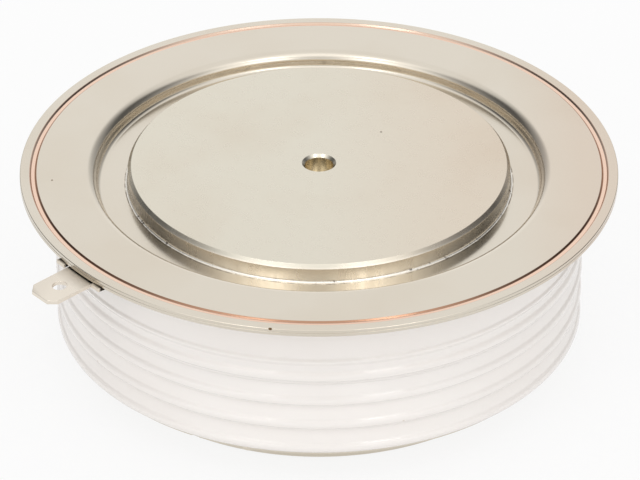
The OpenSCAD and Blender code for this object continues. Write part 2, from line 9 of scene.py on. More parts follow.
import bmesh
import bpy
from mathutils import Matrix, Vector


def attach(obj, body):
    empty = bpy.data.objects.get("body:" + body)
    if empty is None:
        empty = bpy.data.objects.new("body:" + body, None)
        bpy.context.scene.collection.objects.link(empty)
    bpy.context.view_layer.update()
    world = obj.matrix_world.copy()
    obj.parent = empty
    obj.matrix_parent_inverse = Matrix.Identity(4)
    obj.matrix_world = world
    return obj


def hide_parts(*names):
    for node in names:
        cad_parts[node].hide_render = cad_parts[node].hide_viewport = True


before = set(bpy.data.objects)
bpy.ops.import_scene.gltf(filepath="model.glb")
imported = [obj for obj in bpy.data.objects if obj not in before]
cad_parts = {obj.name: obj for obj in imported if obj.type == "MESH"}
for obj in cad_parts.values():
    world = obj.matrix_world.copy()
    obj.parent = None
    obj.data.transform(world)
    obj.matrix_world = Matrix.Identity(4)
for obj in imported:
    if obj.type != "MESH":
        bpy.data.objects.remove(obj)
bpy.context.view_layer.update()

# The camera
# A long lens above one side of the cell, level, turned down a little so that
# the cell fills the frame. Its place was worked out from the cell's circles.

MM = 0.001
LID_TOP = 25.55
TOTAL_H = 26.0
CAMERA_SIDE = math.radians(321)
CAMERA_RISE = math.radians(31.44)
CAMERA_DISTANCE = 579
FOCAL_PIXELS = 4614.84
IMAGE_WIDTH = 640
SENSOR_WIDTH = 36
PIXELS_LEFT = 0.98
PIXELS_UP = 74.28

scene = bpy.context.scene
scene.view_settings.view_transform = "Standard"
camera_data = bpy.data.cameras.new("camera")
camera_data.sensor_width = SENSOR_WIDTH
camera_data.lens = FOCAL_PIXELS / IMAGE_WIDTH * SENSOR_WIDTH
camera_data.clip_start = 0.05
camera = bpy.data.objects.new("camera", camera_data)
level = CAMERA_DISTANCE * math.cos(CAMERA_RISE)
camera.location = (
    level * math.cos(CAMERA_SIDE) * MM,
    level * math.sin(CAMERA_SIDE) * MM,
    (LID_TOP + CAMERA_DISTANCE * math.sin(CAMERA_RISE)) * MM,
)
look_down = CAMERA_RISE + math.atan(PIXELS_UP / FOCAL_PIXELS)
look_right = PIXELS_LEFT / (FOCAL_PIXELS * math.cos(CAMERA_RISE))
camera.rotation_euler = (math.pi / 2 - look_down, 0, CAMERA_SIDE + math.pi / 2 - look_right)
scene.collection.objects.link(camera)
scene.camera = camera

# The studio
# A white sweep behind the cell, dark walls at both sides, and a grey wall on the
# camera's side with two soft boxes, each under a strip light. All of them show
# in the plating, and the strips in the ceramic's glaze.


def linear(code):
    """The linear colour of an sRGB hex value."""
    parts = [int(code[i:i + 2], 16) / 255 for i in (1, 3, 5)]
    return [c / 12.92 if c <= 0.04045 else ((c + 0.055) / 1.055) ** 2.4 for c in parts] + [1]


def feed(tree, socket, value):
    """Gives an input a value or a hex colour, or links it to a node or one of its outputs."""
    if isinstance(value, bpy.types.Node):
        value = next(output for output in value.outputs if output.enabled)
    if isinstance(value, bpy.types.NodeSocket):
        tree.links.new(value, socket)
    else:
        socket.default_value = linear(value) if isinstance(value, str) else value


def add(tree, kind, inputs=None, **settings):
    """Adds a node with its settings, and feeds its inputs."""
    node = tree.nodes.new(kind)
    for name, value in settings.items():
        setattr(node, name, value)
    for socket, value in (inputs or {}).items():
        feed(tree, node.inputs[socket], value)
    return node


# The walls' light by the angle from the camera's side. It is stronger below a
# rise, given as a sine, and higher up the ceiling takes over, between two rises
# in degrees. Pairs of lights are away from the camera and near it
ROOM_LIGHT = {
    180: 1.0, 170: 0.97, 160: 0.72, 150: 0.5, 135: 0.3, 122: 0.1, 112: 0.1, 100: 0.16, 90: 0.26,
    81: 0.38, 73: 0.52, 64: 0.78, 54: 1.08, 44: 1.25, 30: 1.3, 20: 1.2, 10: 0.95, 0: 0.8,
}
ROOM_PEAK = max(ROOM_LIGHT.values())
LIFT_START, LIFT_END = 0.35, 0.5
LOW_LIFT = 1.1
CEILING_RISE = (40, 55)
CEILING_LIGHT = (1.0, 1.35)
CEILING_NEAR = 0.35
FILL_AWAY, FILL_NEAR = 0.77, 1.13

studio = bpy.data.worlds.new("studio")
studio.use_nodes = True
scene.world = studio
sky = studio.node_tree
sky.nodes.clear()
direction = add(sky, "ShaderNodeTexCoord").outputs["Generated"]
toward_camera = (math.cos(CAMERA_SIDE), math.sin(CAMERA_SIDE), 0)
level_part = add(sky, "ShaderNodeVectorMath", {0: direction, 1: (1, 1, 0)}, operation="MULTIPLY")
level_part = add(sky, "ShaderNodeVectorMath", {0: level_part}, operation="NORMALIZE")
nearness = add(sky, "ShaderNodeVectorMath", {0: level_part, 1: toward_camera}, operation="DOT_PRODUCT")
nearness_share = add(sky, "ShaderNodeMapRange", {"Value": nearness, "From Min": -1})
room = add(sky, "ShaderNodeValToRGB", {"Fac": nearness_share})
stops = room.color_ramp.elements
while len(stops) < len(ROOM_LIGHT):
    stops.new(1)
for stop, (turn, light) in zip(stops, ROOM_LIGHT.items()):
    stop.position = (math.cos(math.radians(turn)) + 1) / 2
    stop.color = [light / ROOM_PEAK] * 3 + [1]
rise = add(sky, "ShaderNodeSeparateXYZ", {"Vector": direction}).outputs["Z"]
lift = add(sky, "ShaderNodeMapRange", {
    "Value": rise, "From Min": LIFT_START, "From Max": LIFT_END,
    "To Min": ROOM_PEAK * LOW_LIFT, "To Max": ROOM_PEAK,
})
walls = add(sky, "ShaderNodeMath", {0: room, 1: lift}, operation="MULTIPLY")
camera_side = add(sky, "ShaderNodeVectorMath", {0: direction, 1: toward_camera}, operation="DOT_PRODUCT")
ceiling = add(sky, "ShaderNodeMapRange", {
    "Value": camera_side, "From Max": CEILING_NEAR, "To Min": CEILING_LIGHT[0], "To Max": CEILING_LIGHT[1],
})
ceiling_low, ceiling_high = (math.sin(math.radians(a)) for a in CEILING_RISE)
overhead = add(sky, "ShaderNodeMapRange", {"Value": rise, "From Min": ceiling_low, "From Max": ceiling_high})
shade = add(sky, "ShaderNodeMix", {"Factor": overhead, "A": walls, "B": ceiling})
fill = add(sky, "ShaderNodeMapRange", {"Value": camera_side, "To Min": FILL_AWAY, "To Max": FILL_NEAR})
rays = add(sky, "ShaderNodeLightPath").outputs
seen = add(sky, "ShaderNodeMix", {"Factor": rays["Is Diffuse Ray"], "A": shade, "B": fill})
strength = add(sky, "ShaderNodeMix", {"Factor": rays["Is Camera Ray"], "A": seen, "B": 1})
background = add(sky, "ShaderNodeBackground", {"Color": "#FFFFFF", "Strength": strength})
add(sky, "ShaderNodeOutputWorld", {"Surface": background})

LIGHT_DISTANCE = 1.2
SOFT_BOX = dict(rise=31, width=0.42, height=0.34, radiance=0.85)
STRIP = dict(width=0.26, height=0.08, radiance=5.0)
SOFT_LIGHTS = {
    "soft_box_left": dict(SOFT_BOX, side=-28),
    "soft_box_right": dict(SOFT_BOX, side=26),
    "strip_left": dict(STRIP, side=-35, rise=57),
    "strip_right": dict(STRIP, side=33, rise=54),
}
for name, box in SOFT_LIGHTS.items():
    data = bpy.data.lights.new(name, "AREA")
    data.shape = "RECTANGLE"
    data.size = box["width"]
    data.size_y = box["height"]
    data.energy = box["radiance"] * box["width"] * box["height"] * math.pi
    light = bpy.data.objects.new(name, data)
    azimuth = CAMERA_SIDE + math.radians(box["side"])
    height = math.radians(box["rise"])
    level = math.cos(height)
    place = Vector((level * math.cos(azimuth), level * math.sin(azimuth), math.sin(height)))
    light.location = place * LIGHT_DISTANCE
    light.rotation_euler = place.to_track_quat("Z", "Y").to_euler()
    light.visible_camera = False
    scene.collection.objects.link(light)

FLOOR_SIZE = 6.0
FLOOR_WHITE_SHARE = 0.85
FLOOR_MIRRORED_SHARE = 0.55

floor_mesh = bpy.data.meshes.new("floor")
half = FLOOR_SIZE / 2
corners = [(-half, -half, 0), (half, -half, 0), (half, half, 0), (-half, half, 0)]
floor_mesh.from_pydata(corners, [], [(0, 1, 2, 3)])
floor = bpy.data.objects.new("floor", floor_mesh)
scene.collection.objects.link(floor)
sweep = bpy.data.materials.new("white_paper_sweep")
sweep.use_nodes = True
paper = sweep.node_tree
paper.nodes.clear()
lit = add(paper, "ShaderNodeBsdfDiffuse", {"Color": "#F8F8F8"})
white = add(paper, "ShaderNodeEmission", {"Color": "#FFFFFF", "Strength": 1})
rays = add(paper, "ShaderNodeLightPath").outputs
mirrored = add(
    paper, "ShaderNodeMath", {0: rays["Is Glossy Ray"], 1: FLOOR_MIRRORED_SHARE}, operation="MULTIPLY",
)
share = add(
    paper, "ShaderNodeMath", {0: rays["Is Camera Ray"], 1: FLOOR_WHITE_SHARE, 2: mirrored},
    operation="MULTIPLY_ADD",
)
both = add(paper, "ShaderNodeMixShader", {0: share, 1: lit, 2: white})
add(paper, "ShaderNodeOutputMaterial", {"Surface": both})
floor_mesh.materials.append(sweep)

# The anode pole
# A turned copper pole, nickel plated. Its lower face is the anode contact. It
# has a blind centring hole, and a shoulder that carries the anode flange.

FACE_R = 23.58
BEVEL_W = 0.42
BEVEL_H = 0.5
BEVEL_EASE = 0.05
POLE_R = FACE_R + BEVEL_W
NECK_R = 23.5
COLLAR_R = 25.5
COLLAR_H = 2.0
NECK_H = 2.5
ANODE_POLE_H = 10.0
ANODE_SEAT = 1.05
HOLE_R = 1.8
HOLE_DEPTH = 2.0
HOLE_CHAMFER = 0.35
TURNED_STEPS = 256


def toward(point, distance, degrees):
    """The point at a distance from another, in a direction."""
    a = math.radians(degrees)
    return (point[0] + distance * math.cos(a), point[1] + distance * math.sin(a))


def arc(centre, radius, start, end, step=6):
    """Points of an arc between two angles in degrees."""
    count = max(2, math.ceil(abs(end - start) / step))
    return [toward(centre, radius, start + (end - start) * i / count) for i in range(count + 1)]


def eased(before, corner, after, size, steps=4):
    """Points of a soft corner between two straights, in place of the sharp one."""
    ends = []
    for other in (before, after):
        share = size / math.dist(corner, other)
        ends.append([c + (o - c) * share for c, o in zip(corner, other)])
    points = []
    for i in range(steps + 1):
        t = i / steps
        points.append(tuple(
            (1 - t) ** 2 * a + 2 * t * (1 - t) * c + t ** 2 * b for a, c, b in zip(ends[0], corner, ends[1])
        ))
    return points


def pole_outline(height, seat):
    """Half section of a pole that stands on its contact face at height 0."""
    return [
        (0, HOLE_DEPTH), (HOLE_R, HOLE_DEPTH), (HOLE_R, HOLE_CHAMFER), (HOLE_R + HOLE_CHAMFER, 0),
        *eased((0, 0), (FACE_R, 0), (POLE_R, BEVEL_H), BEVEL_EASE),
        *eased((FACE_R, 0), (POLE_R, BEVEL_H), (POLE_R, seat), BEVEL_EASE),
        (POLE_R, seat), (COLLAR_R, seat), (COLLAR_R, seat + COLLAR_H), (POLE_R, seat + COLLAR_H),
        (POLE_R, height - NECK_H), (NECK_R, height - NECK_H), (NECK_R, height), (0, height),
    ]


def with_holds(outline, margin=0.04):
    """Adds a point near both ends of each long straight, which keeps its shading flat."""
    points = [outline[0]]
    for a, b in zip(outline, outline[1:]):
        length = math.dist(a, b)
        if length > 6 * margin:
            for share in (margin / length, 1 - margin / length):
                points.append((a[0] + (b[0] - a[0]) * share, a[1] + (b[1] - a[1]) * share))
        points.append(b)
    return points


def line_object(name, points):
    """An object whose mesh is a line through points, which a node tree turns into a shape."""
    mesh = bpy.data.meshes.new(name)
    mesh.from_pydata([[c * MM for c in p] for p in points], [(i, i + 1) for i in range(len(points) - 1)], [])
    piece = bpy.data.objects.new(name, mesh)
    scene.collection.objects.link(piece)
    return piece


def section_line(name, outline):
    """The line of a half section, whose points are radius and height."""
    return line_object(name, [(r, 0, z) for r, z in with_holds(outline)])


def new_tree(name, sockets):
    """An empty Geometry Nodes tree with its named inputs. Returns it with those inputs."""
    tree = bpy.data.node_groups.new(name, "GeometryNodeTree")
    tree.interface.new_socket("Line", in_out="INPUT", socket_type="NodeSocketGeometry")
    for socket, kind in sockets.items():
        tree.interface.new_socket(socket, in_out="INPUT", socket_type="NodeSocket" + kind)
    tree.interface.new_socket("Piece", in_out="OUTPUT", socket_type="NodeSocketGeometry")
    return tree, add(tree, "NodeGroupInput").outputs


def end_tree(tree, shape, finish):
    """Ends a tree: its instances made real, in their finish."""
    real = add(tree, "GeometryNodeRealizeInstances", {"Geometry": shape})
    finished = add(tree, "GeometryNodeSetMaterial", {"Geometry": real, "Material": finish})
    add(tree, "NodeGroupOutput", {0: finished})


def grow(piece, tree, values):
    """Gives a piece a Geometry Nodes modifier with its inputs set."""
    modifier = piece.modifiers.new(tree.name, "NODES")
    modifier.node_group = tree
    for item in tree.interface.items_tree:
        if item.in_out == "INPUT" and item.name in values:
            modifier[item.identifier] = values[item.name]


def settle(piece, sharp=30):
    """Turns a piece's modifiers into its plain mesh, closed and facing outwards."""
    bpy.context.view_layer.update()
    depsgraph = bpy.context.evaluated_depsgraph_get()
    mesh = bpy.data.meshes.new_from_object(piece.evaluated_get(depsgraph), depsgraph=depsgraph)
    piece.modifiers.clear()
    piece.data = mesh
    mesh.name = piece.name
    shape = bmesh.new()
    shape.from_mesh(mesh)
    bmesh.ops.remove_doubles(shape, verts=shape.verts, dist=1e-7)
    bmesh.ops.recalc_face_normals(shape, faces=shape.faces)
    shape.to_mesh(mesh)
    shape.free()
    mesh.shade_smooth()
    mesh.set_sharp_from_angle(angle=math.radians(sharp))


# Turns a line of radius and height about Z: each point of a grid takes its
# radius and height from the line's point of its row
turned_body, given = new_tree("turned_body", {"Steps round": "Int", "Finish": "Material"})
line_points = add(turned_body, "GeometryNodeAttributeDomainSize", {"Geometry": given["Line"]})
columns = add(turned_body, "ShaderNodeMath", {0: given["Steps round"], 1: 1}, operation="ADD")
grid = add(turned_body, "GeometryNodeMeshGrid", {
    "Size X": MM, "Size Y": MM, "Vertices X": columns, "Vertices Y": line_points,
})
index = add(turned_body, "GeometryNodeInputIndex")
row = add(turned_body, "ShaderNodeMath", {0: index, 1: line_points}, operation="MODULO")
rows_passed = add(turned_body, "ShaderNodeMath", {0: index, 1: line_points}, operation="DIVIDE")
column = add(turned_body, "ShaderNodeMath", {0: rows_passed}, operation="FLOOR")
position = add(turned_body, "GeometryNodeInputPosition")
on_line = add(
    turned_body, "GeometryNodeSampleIndex", {"Geometry": given["Line"], "Value": position, "Index": row},
    data_type="FLOAT_VECTOR",
)
share_round = add(turned_body, "ShaderNodeMath", {0: column, 1: given["Steps round"]}, operation="DIVIDE")
angle = add(turned_body, "ShaderNodeMath", {0: share_round, 1: math.tau}, operation="MULTIPLY")
placed = add(
    turned_body, "ShaderNodeVectorRotate", {"Vector": on_line, "Angle": angle}, rotation_type="Z_AXIS",
)
wrapped = add(turned_body, "GeometryNodeSetPosition", {"Geometry": grid, "Position": placed})
closed = add(turned_body, "GeometryNodeMergeByDistance", {"Geometry": wrapped, "Distance": 1e-6})
end_tree(turned_body, closed, given["Finish"])


def turned(name, outline, finish, steps=TURNED_STEPS):
    """A body turned about Z from its half section."""
    piece = section_line(name, outline)
    grow(piece, turned_body, {"Steps round": steps, "Finish": finish})
    settle(piece)
    return piece


def stands_for(piece, node):
    """Puts a piece in the place of a CAD node, on the cell's one body."""
    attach(piece, "root")
    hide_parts(node)


def new_finish(name):
    """An empty material with its tree, its shader and Object coordinates."""
    material = bpy.data.materials.new(name)
    material.use_nodes = True
    tree = material.node_tree
    tree.nodes.clear()
    shader = add(tree, "ShaderNodeBsdfPrincipled")
    add(tree, "ShaderNodeOutputMaterial", {"Surface": shader})
    return material, tree, shader, add(tree, "ShaderNodeTexCoord").outputs["Object"]


def per_mm(size):
    """The scale of a pattern whose features are a size in millimetres."""
    return 1 / (size * MM)


def radius_of(tree, place):
    """Distance from the Z axis."""
    flat = add(tree, "ShaderNodeVectorMath", {0: place, 1: (1, 1, 0)}, operation="MULTIPLY")
    return add(tree, "ShaderNodeVectorMath", {0: flat}, operation="LENGTH")


def near(tree, value, middle, half_width, soft):
    """1 where a distance is within half a width of the middle, 0 beyond, with a soft edge."""
    away = add(tree, "ShaderNodeMath", {0: value, 1: middle * MM}, operation="SUBTRACT")
    away = add(tree, "ShaderNodeMath", {0: away}, operation="ABSOLUTE")
    return add(tree, "ShaderNodeMapRange", {
        "Value": away, "From Min": (half_width + soft) * MM, "From Max": (half_width - soft) * MM,
    })


def speck(tree, place, radius, turn, height, size, soft=0.04):
    """1 within a small speck of the surface, 0 beyond, with a soft edge."""
    middle = [c * MM for c in (*toward((0, 0), radius, turn), height)]
    away = add(tree, "ShaderNodeVectorMath", {0: place, 1: middle}, operation="DISTANCE")
    return near(tree, away, 0, size, soft)


def layered(tree, colour, *layers):
    """A colour with others laid over it in turn, each by its share."""
    for share, layer in layers:
        colour = add(tree, "ShaderNodeMix", {0: share, 6: colour, 7: layer}, data_type="RGBA")
    return colour


PAINTED_SHADE_SIDE = (0.629, 0.777, 0)
CLOUD_MM = 16
CLOUD_START = 0.45


def clouded_plate(tree, place, cloud_end, cloud_share, clean, clouded, shade_start, shade_end):
    """Nickel plate clouded by handling, with painted warm shade that darkens it toward one side."""
    clouds = add(tree, "ShaderNodeTexNoise", {"Vector": place, "Scale": per_mm(CLOUD_MM), "Detail": 3})
    share = add(tree, "ShaderNodeMapRange", {
        "Value": clouds, "From Min": CLOUD_START, "From Max": cloud_end, "To Max": cloud_share,
    })
    # Painted warm shade: the plate is darkened and warmed toward one side, the right of the camera's view
    across = add(tree, "ShaderNodeVectorMath", {0: place, 1: PAINTED_SHADE_SIDE}, operation="DOT_PRODUCT")
    side_painted_shade = add(tree, "ShaderNodeMapRange", {
        "Value": across, "From Min": shade_start * MM, "From Max": shade_end * MM,
    })
    plate = layered(tree, clean, (share, clouded))
    plate = add(
        tree, "ShaderNodeMix", {0: side_painted_shade, 6: plate, 7: "#FDF6F3"}, data_type="RGBA", blend_type="MULTIPLY",
    )
    return clouds, plate


# The values between which most of a noise pattern lies
NOISE_LOW, NOISE_HIGH = 0.3, 0.7


def complete(tree, shader, colour, roughness, relief=None, metallic=1):
    """Gives a shader its colour, roughness and relief.

    The roughness is a value, or a pattern with the values at its low and high
    parts. The relief is a pattern with its strength and depth, and is returned."""
    if isinstance(roughness, tuple):
        pattern, low, high = roughness
        roughness = add(tree, "ShaderNodeMapRange", {
            "Value": pattern, "From Min": NOISE_LOW, "From Max": NOISE_HIGH, "To Min": low, "To Max": high,
        })
    feed(tree, shader.inputs["Base Color"], colour)
    feed(tree, shader.inputs["Roughness"], roughness)
    shader.inputs["Metallic"].default_value = metallic
    if relief:
        pattern, strength, depth = relief
        bump = add(tree, "ShaderNodeBump", {"Height": pattern, "Strength": strength, "Distance": depth * MM})
        feed(tree, shader.inputs["Normal"], bump)
        return bump


STREAK_MM = 1.6
STREAK_STRETCH = 4
GRAIN_MM = 0.14
WALL_HALF = 0.1
WALL_SOFT = 0.08
HOLE_FADE_START, HOLE_FADE_END = 0.12, 0.02
FACE_SPECK = (10.84, 94.5, TOTAL_H, 0.13)

# Nickel plate on a fine-turned copper pole: satin, a little warm, cloudy where
# it has been handled, with painted warm shade toward one side, streaks up the
# turned wall, a painted lighter tone on the wall that brightens its reflections,
# and painted shade in the hole
turned_nickel, tree, shader, place = new_finish("satin_nickel_on_turned_copper")
plate = clouded_plate(tree, place, 0.75, 0.55, "#DED8C9", "#D6CBB9", 0, 18)[1]
stretched = add(tree, "ShaderNodeMapping", {"Vector": place, "Scale": (1, 1, 1 / STREAK_STRETCH)})
streaks = add(tree, "ShaderNodeTexNoise", {
    "Vector": stretched, "Scale": per_mm(STREAK_MM), "Detail": 4, "Roughness": 0.6,
})
streak_share = add(tree, "ShaderNodeMapRange", {
    "Value": streaks, "From Min": 0.35, "From Max": 0.7, "To Max": 0.35,
})
radius = radius_of(tree, place)
on_wall = near(tree, radius, POLE_R, WALL_HALF, WALL_SOFT)
wall_streaks = add(tree, "ShaderNodeMath", {0: on_wall, 1: streak_share}, operation="MULTIPLY")
# Painted shade in the centring hole: the plate darkens inside it
hole_painted_shade = add(tree, "ShaderNodeMapRange", {
    "Value": radius,
    "From Min": (HOLE_R + HOLE_FADE_START) * MM, "From Max": (HOLE_R + HOLE_FADE_END) * MM,
})
# On the wall a painted lighter tone brightens its reflections; the darker streaks are turning marks
plate = layered(
    tree, plate, (on_wall, "#F1E9DB"), (wall_streaks, "#CDBFAA"), (hole_painted_shade, "#D8CDB6"),
    (speck(tree, place, *FACE_SPECK), "#6E6252"),
)
grain = add(tree, "ShaderNodeTexNoise", {"Vector": place, "Scale": per_mm(GRAIN_MM), "Detail": 2})
complete(tree, shader, plate, (streaks, 0.2, 0.3), (grain, 0.02, 0.02))

anode_pole = turned("anode_contact_pole", pole_outline(ANODE_POLE_H, ANODE_SEAT), turned_nickel)
stands_for(anode_pole, "anode_pole")

# The anode flange
# A thin drawn cup of sheet copper, nickel plated, brazed on the pole's shoulder
# and under the ceramic. Its rim has a small nick and a burr from trimming.

ANODE_STAND = 0.6
SHEET_T = 0.45
CUP_R = 28.5
CUP_CORNER_R = 0.8
CUP_BEND_R = 0.8
ANODE_RIM_R = 32.2
ANODE_RIM_Z = 3.95
SHEET_EDGE_R = 0.06
# The degrees round the rim of each flaw, and half the degrees that it takes up
NICK = (293, 0.9)
BURR = (305, 1.2)
FLAW_SIZE = 0.3
FLAW_REACH = 0.2
UNEVEN_STEPS = 512
WELD_GROOVE_R = 35.84
WELD_GROOVE_HALF = 0.41
GROOVE_WALLS = {35.53: "#A8836C", 36.2: "#CDB4A2"}
GROOVE_WALL_HALF = 0.12
FLUX_LINE_R = 24.36
FLUX_LINE_HALF = 0.08
FLUX_MM = 1.2
SHEET_SPECKS = [(37.55, 312.1, LID_TOP, 0.24), (33.5, 236.9, LID_TOP, 0.12)]
SHEET_GRAIN_MM = 0.16

# Nickel plate on sheet copper: satin and slightly mottled, with bare copper
# where the cold weld has pressed the plating open, and painted warm shade toward one side
sheet_nickel, tree, shader, place = new_finish("satin_nickel_on_sheet_copper")
clouds, plate = clouded_plate(tree, place, 0.8, 0.5, "#DCD4C6", "#D3C7B5", 24, 33)
radius = radius_of(tree, place)
in_groove = near(tree, radius, WELD_GROOVE_R, WELD_GROOVE_HALF, 0.03)
plate = layered(tree, plate, (in_groove, "#F0D0BB"))
for middle, tone in GROOVE_WALLS.items():
    plate = layered(tree, plate, (near(tree, radius, middle, GROOVE_WALL_HALF, 0.02), tone))
flux = add(tree, "ShaderNodeTexNoise", {"Vector": place, "Scale": per_mm(FLUX_MM), "Detail": 3})
flux = add(tree, "ShaderNodeMapRange", {"Value": flux, "From Min": 0.35, "From Max": 0.6, "To Max": 0.8})
flux_line = near(tree, radius, FLUX_LINE_R, FLUX_LINE_HALF, 0.04)
flux = add(tree, "ShaderNodeMath", {0: flux, 1: flux_line}, operation="MULTIPLY")
plate = layered(tree, plate, (flux, "#5A4C3E"))
for spot in SHEET_SPECKS:
    plate = layered(tree, plate, (speck(tree, place, *spot), "#6A5236"))
grain = add(tree, "ShaderNodeTexNoise", {"Vector": place, "Scale": per_mm(SHEET_GRAIN_MM), "Detail": 2})
complete(tree, shader, plate, (clouds, 0.16, 0.22), (grain, 0.05, 0.02))

corner = (CUP_R - CUP_CORNER_R, ANODE_STAND + CUP_CORNER_R)
turn = (CUP_R + CUP_BEND_R, ANODE_RIM_Z - CUP_BEND_R)
edge_r = ANODE_RIM_R - SHEET_EDGE_R
anode_flange = turned(
    "drawn_anode_flange",
    [
        (POLE_R, ANODE_STAND),
        *arc(corner, CUP_CORNER_R, -90, 0),
        *arc(turn, CUP_BEND_R, 180, 90),
        *arc((edge_r, ANODE_RIM_Z + SHEET_EDGE_R), SHEET_EDGE_R, -90, 0, 30),
        *arc((edge_r, ANODE_RIM_Z + SHEET_T - SHEET_EDGE_R), SHEET_EDGE_R, 0, 90, 30),
        *arc(turn, CUP_BEND_R + SHEET_T, 90, 180),
        *arc(corner, CUP_CORNER_R - SHEET_T, 0, -90),
        (POLE_R, ANODE_SEAT), (POLE_R, ANODE_STAND),
    ],
    sheet_nickel,
    UNEVEN_STEPS,
)
for vertex in anode_flange.data.vertices:
    spot = math.degrees(math.atan2(vertex.co.y, vertex.co.x)) % 360
    reach = math.hypot(vertex.co.x, vertex.co.y) / MM
    if reach > ANODE_RIM_R - FLAW_REACH:
        nick, burr = (
            FLAW_SIZE * max(0, 1 - ((spot - middle) / half_width) ** 2) for middle, half_width in (NICK, BURR)
        )
        share = (reach - nick) / reach
        vertex.co.x *= share
        vertex.co.y *= share
        vertex.co.z -= burr * MM
stands_for(anode_flange, "anode_flange")

# The brazed joint under the ceramic
# A ring of brazing foil, melted between the anode flange and the ceramic's
# metallised end face.

BORE_R = 29.0
CERAMIC_FOOT = 4.5
FOIL_T = 0.1
FOIL_INSET = 0.3

# Silver braze as it flowed: bright, with dark flecks of burnt flux
silver_braze, tree, shader, place = new_finish("silver_braze_as_flowed")
FLECK_MM = 0.9
flecks = add(tree, "ShaderNodeTexNoise", {
    "Vector": place, "Scale": per_mm(FLECK_MM), "Detail": 3, "Roughness": 0.6,
})
fleck_share = add(tree, "ShaderNodeMapRange", {
    "Value": flecks, "From Min": 0.61, "From Max": 0.67, "To Max": 0.85,
})
braze = layered(tree, "#F4EFE6", (fleck_share, "#5A5048"))
complete(tree, shader, braze, (flecks, 0.12, 0.35), (flecks, 0.3, 0.08))


def flat_ring(inner, outer, low, high):
    """Half section of a flat ring."""
    return [(inner, low), (outer, low), (outer, high), (inner, high), (inner, low)]


foil_inner = CUP_R + CUP_BEND_R + FOIL_INSET
bottom_braze = turned(
    "housing_bottom_braze_ring",
    flat_ring(foil_inner, ANODE_RIM_R - FOIL_INSET, CERAMIC_FOOT - FOIL_T, CERAMIC_FOOT),
    silver_braze,
)
stands_for(bottom_braze, "housing_bottom_braze")

# The ceramic housing
# One fired ring of white alumina under a clear glaze, with a plain band above
# and four ribs below, which lengthen the way a leak current would take.

CERAMIC_R = 33.35
CERAMIC_TOP = 24.55
CERAMIC_CHAMFER = 0.3
RIB_COUNT = 4
RIB_DEPTH = 0.85
LIP_R = 0.75
HOLLOW_R = 0.45
RIB_UNDER = 60
RIB_NOSE = 50
BAND_UNDER = 30
BAND_LIP_R = 0.35
BAND_VALLEY = 0.35
LOWEST_LIP = 5.39
BAND_LIP = 18.10
BAND_RIB_GAP = 2.33
BAND_R = CERAMIC_R - 2 * BAND_LIP_R * (1 - math.cos(math.radians(RIB_NOSE)))
RIB_PITCH = (BAND_LIP - BAND_RIB_GAP - LOWEST_LIP) / (RIB_COUNT - 1)
CERAMIC_STEPS = 320
SMALL_STEPS = 96
TUBE_R = 1.5
TUBE_Z = 21.55


def valley(lip_z, lip_r, depth, under):
    """Centre of the hollow under a lip."""
    reach = lip_r + HOLLOW_R
    a = math.radians(under)
    return (CERAMIC_R - depth + HOLLOW_R, lip_z - (reach - (reach - depth) * math.cos(a)) / math.sin(a))


def rib(lip_z, next_valley, next_under):
    """A rib from its lip up to the next hollow."""
    lip = (CERAMIC_R - LIP_R, lip_z)
    nose = toward(lip, LIP_R + HOLLOW_R, RIB_NOSE)
    flank = math.degrees(math.atan2(nose[0] - next_valley[0], next_valley[1] - nose[1]))
    return [
        *arc(lip, LIP_R, -RIB_UNDER, RIB_NOSE),
        *arc(nose, HOLLOW_R, 180 + RIB_NOSE, 180 + flank),
        *arc(next_valley, HOLLOW_R, 180 + flank, 180 - next_under),
    ]


# White alumina under a clear glaze: a glassy skin over a matt, faintly warm
# body, with slight waves in the glaze and a few fired-in specks
glazed_alumina, tree, shader, place = new_finish("clear_glaze_on_white_alumina")
TINT_MM = 9
WAVE_MM = 4
DOT_MM = 2.4
DOT_RARITY = 0.93
DOT_STRENGTH = 0.6
GLAZE = {"Coat Weight": 1, "Coat Roughness": 0.04, "Coat IOR": 1.62}
tints = add(tree, "ShaderNodeTexNoise", {"Vector": place, "Scale": per_mm(TINT_MM), "Detail": 3})
cells = add(tree, "ShaderNodeTexVoronoi", {"Vector": place, "Scale": per_mm(DOT_MM)}).outputs
dots = add(tree, "ShaderNodeMapRange", {
    "Value": cells["Distance"], "From Min": 0.075, "From Max": 0.045, "To Max": DOT_STRENGTH,
})
rare = add(tree, "ShaderNodeSeparateColor", {"Color": cells["Color"]})
rare = add(tree, "ShaderNodeMath", {0: rare, 1: DOT_RARITY}, operation="GREATER_THAN")
dots = add(tree, "ShaderNodeMath", {0: dots, 1: rare}, operation="MULTIPLY")
alumina = layered(tree, "#F6F2EE", (tints, "#F3EDE8"), (dots, "#C9B9A6"))
waves = add(tree, "ShaderNodeTexNoise", {"Vector": place, "Scale": per_mm(WAVE_MM), "Detail": 2})
bump = complete(tree, shader, alumina, 0.5, (waves, 0.25, 0.05), metallic=0)
for socket, value in {**GLAZE, "Coat Normal": bump}.items():
    feed(tree, shader.inputs[socket], value)

# Stacks the lines of like ribs between the foot's line and the band's line
rib_stack, given = new_tree(
    "rib_stack", {"Foot": "Object", "Band": "Object", "Ribs": "Int", "Pitch": "Float", "Finish": "Material"},
)
lift_one = add(rib_stack, "ShaderNodeCombineXYZ", {"Z": given["Pitch"]})
places = add(rib_stack, "GeometryNodeMeshLine", {"Count": given["Ribs"], "Offset": lift_one})
copies = add(rib_stack, "GeometryNodeInstanceOnPoints", {"Points": places, "Instance": given["Line"]})
ribs = add(rib_stack, "GeometryNodeRealizeInstances", {"Geometry": copies})
foot_line, band_line = (
    add(rib_stack, "GeometryNodeObjectInfo", {"Object": given[end]}).outputs["Geometry"]
    for end in ("Foot", "Band")
)
whole = add(rib_stack, "GeometryNodeJoinGeometry")
for part in (foot_line, ribs, band_line):
    feed(rib_stack, whole.inputs[0], part)
end_tree(rib_stack, whole, given["Finish"])

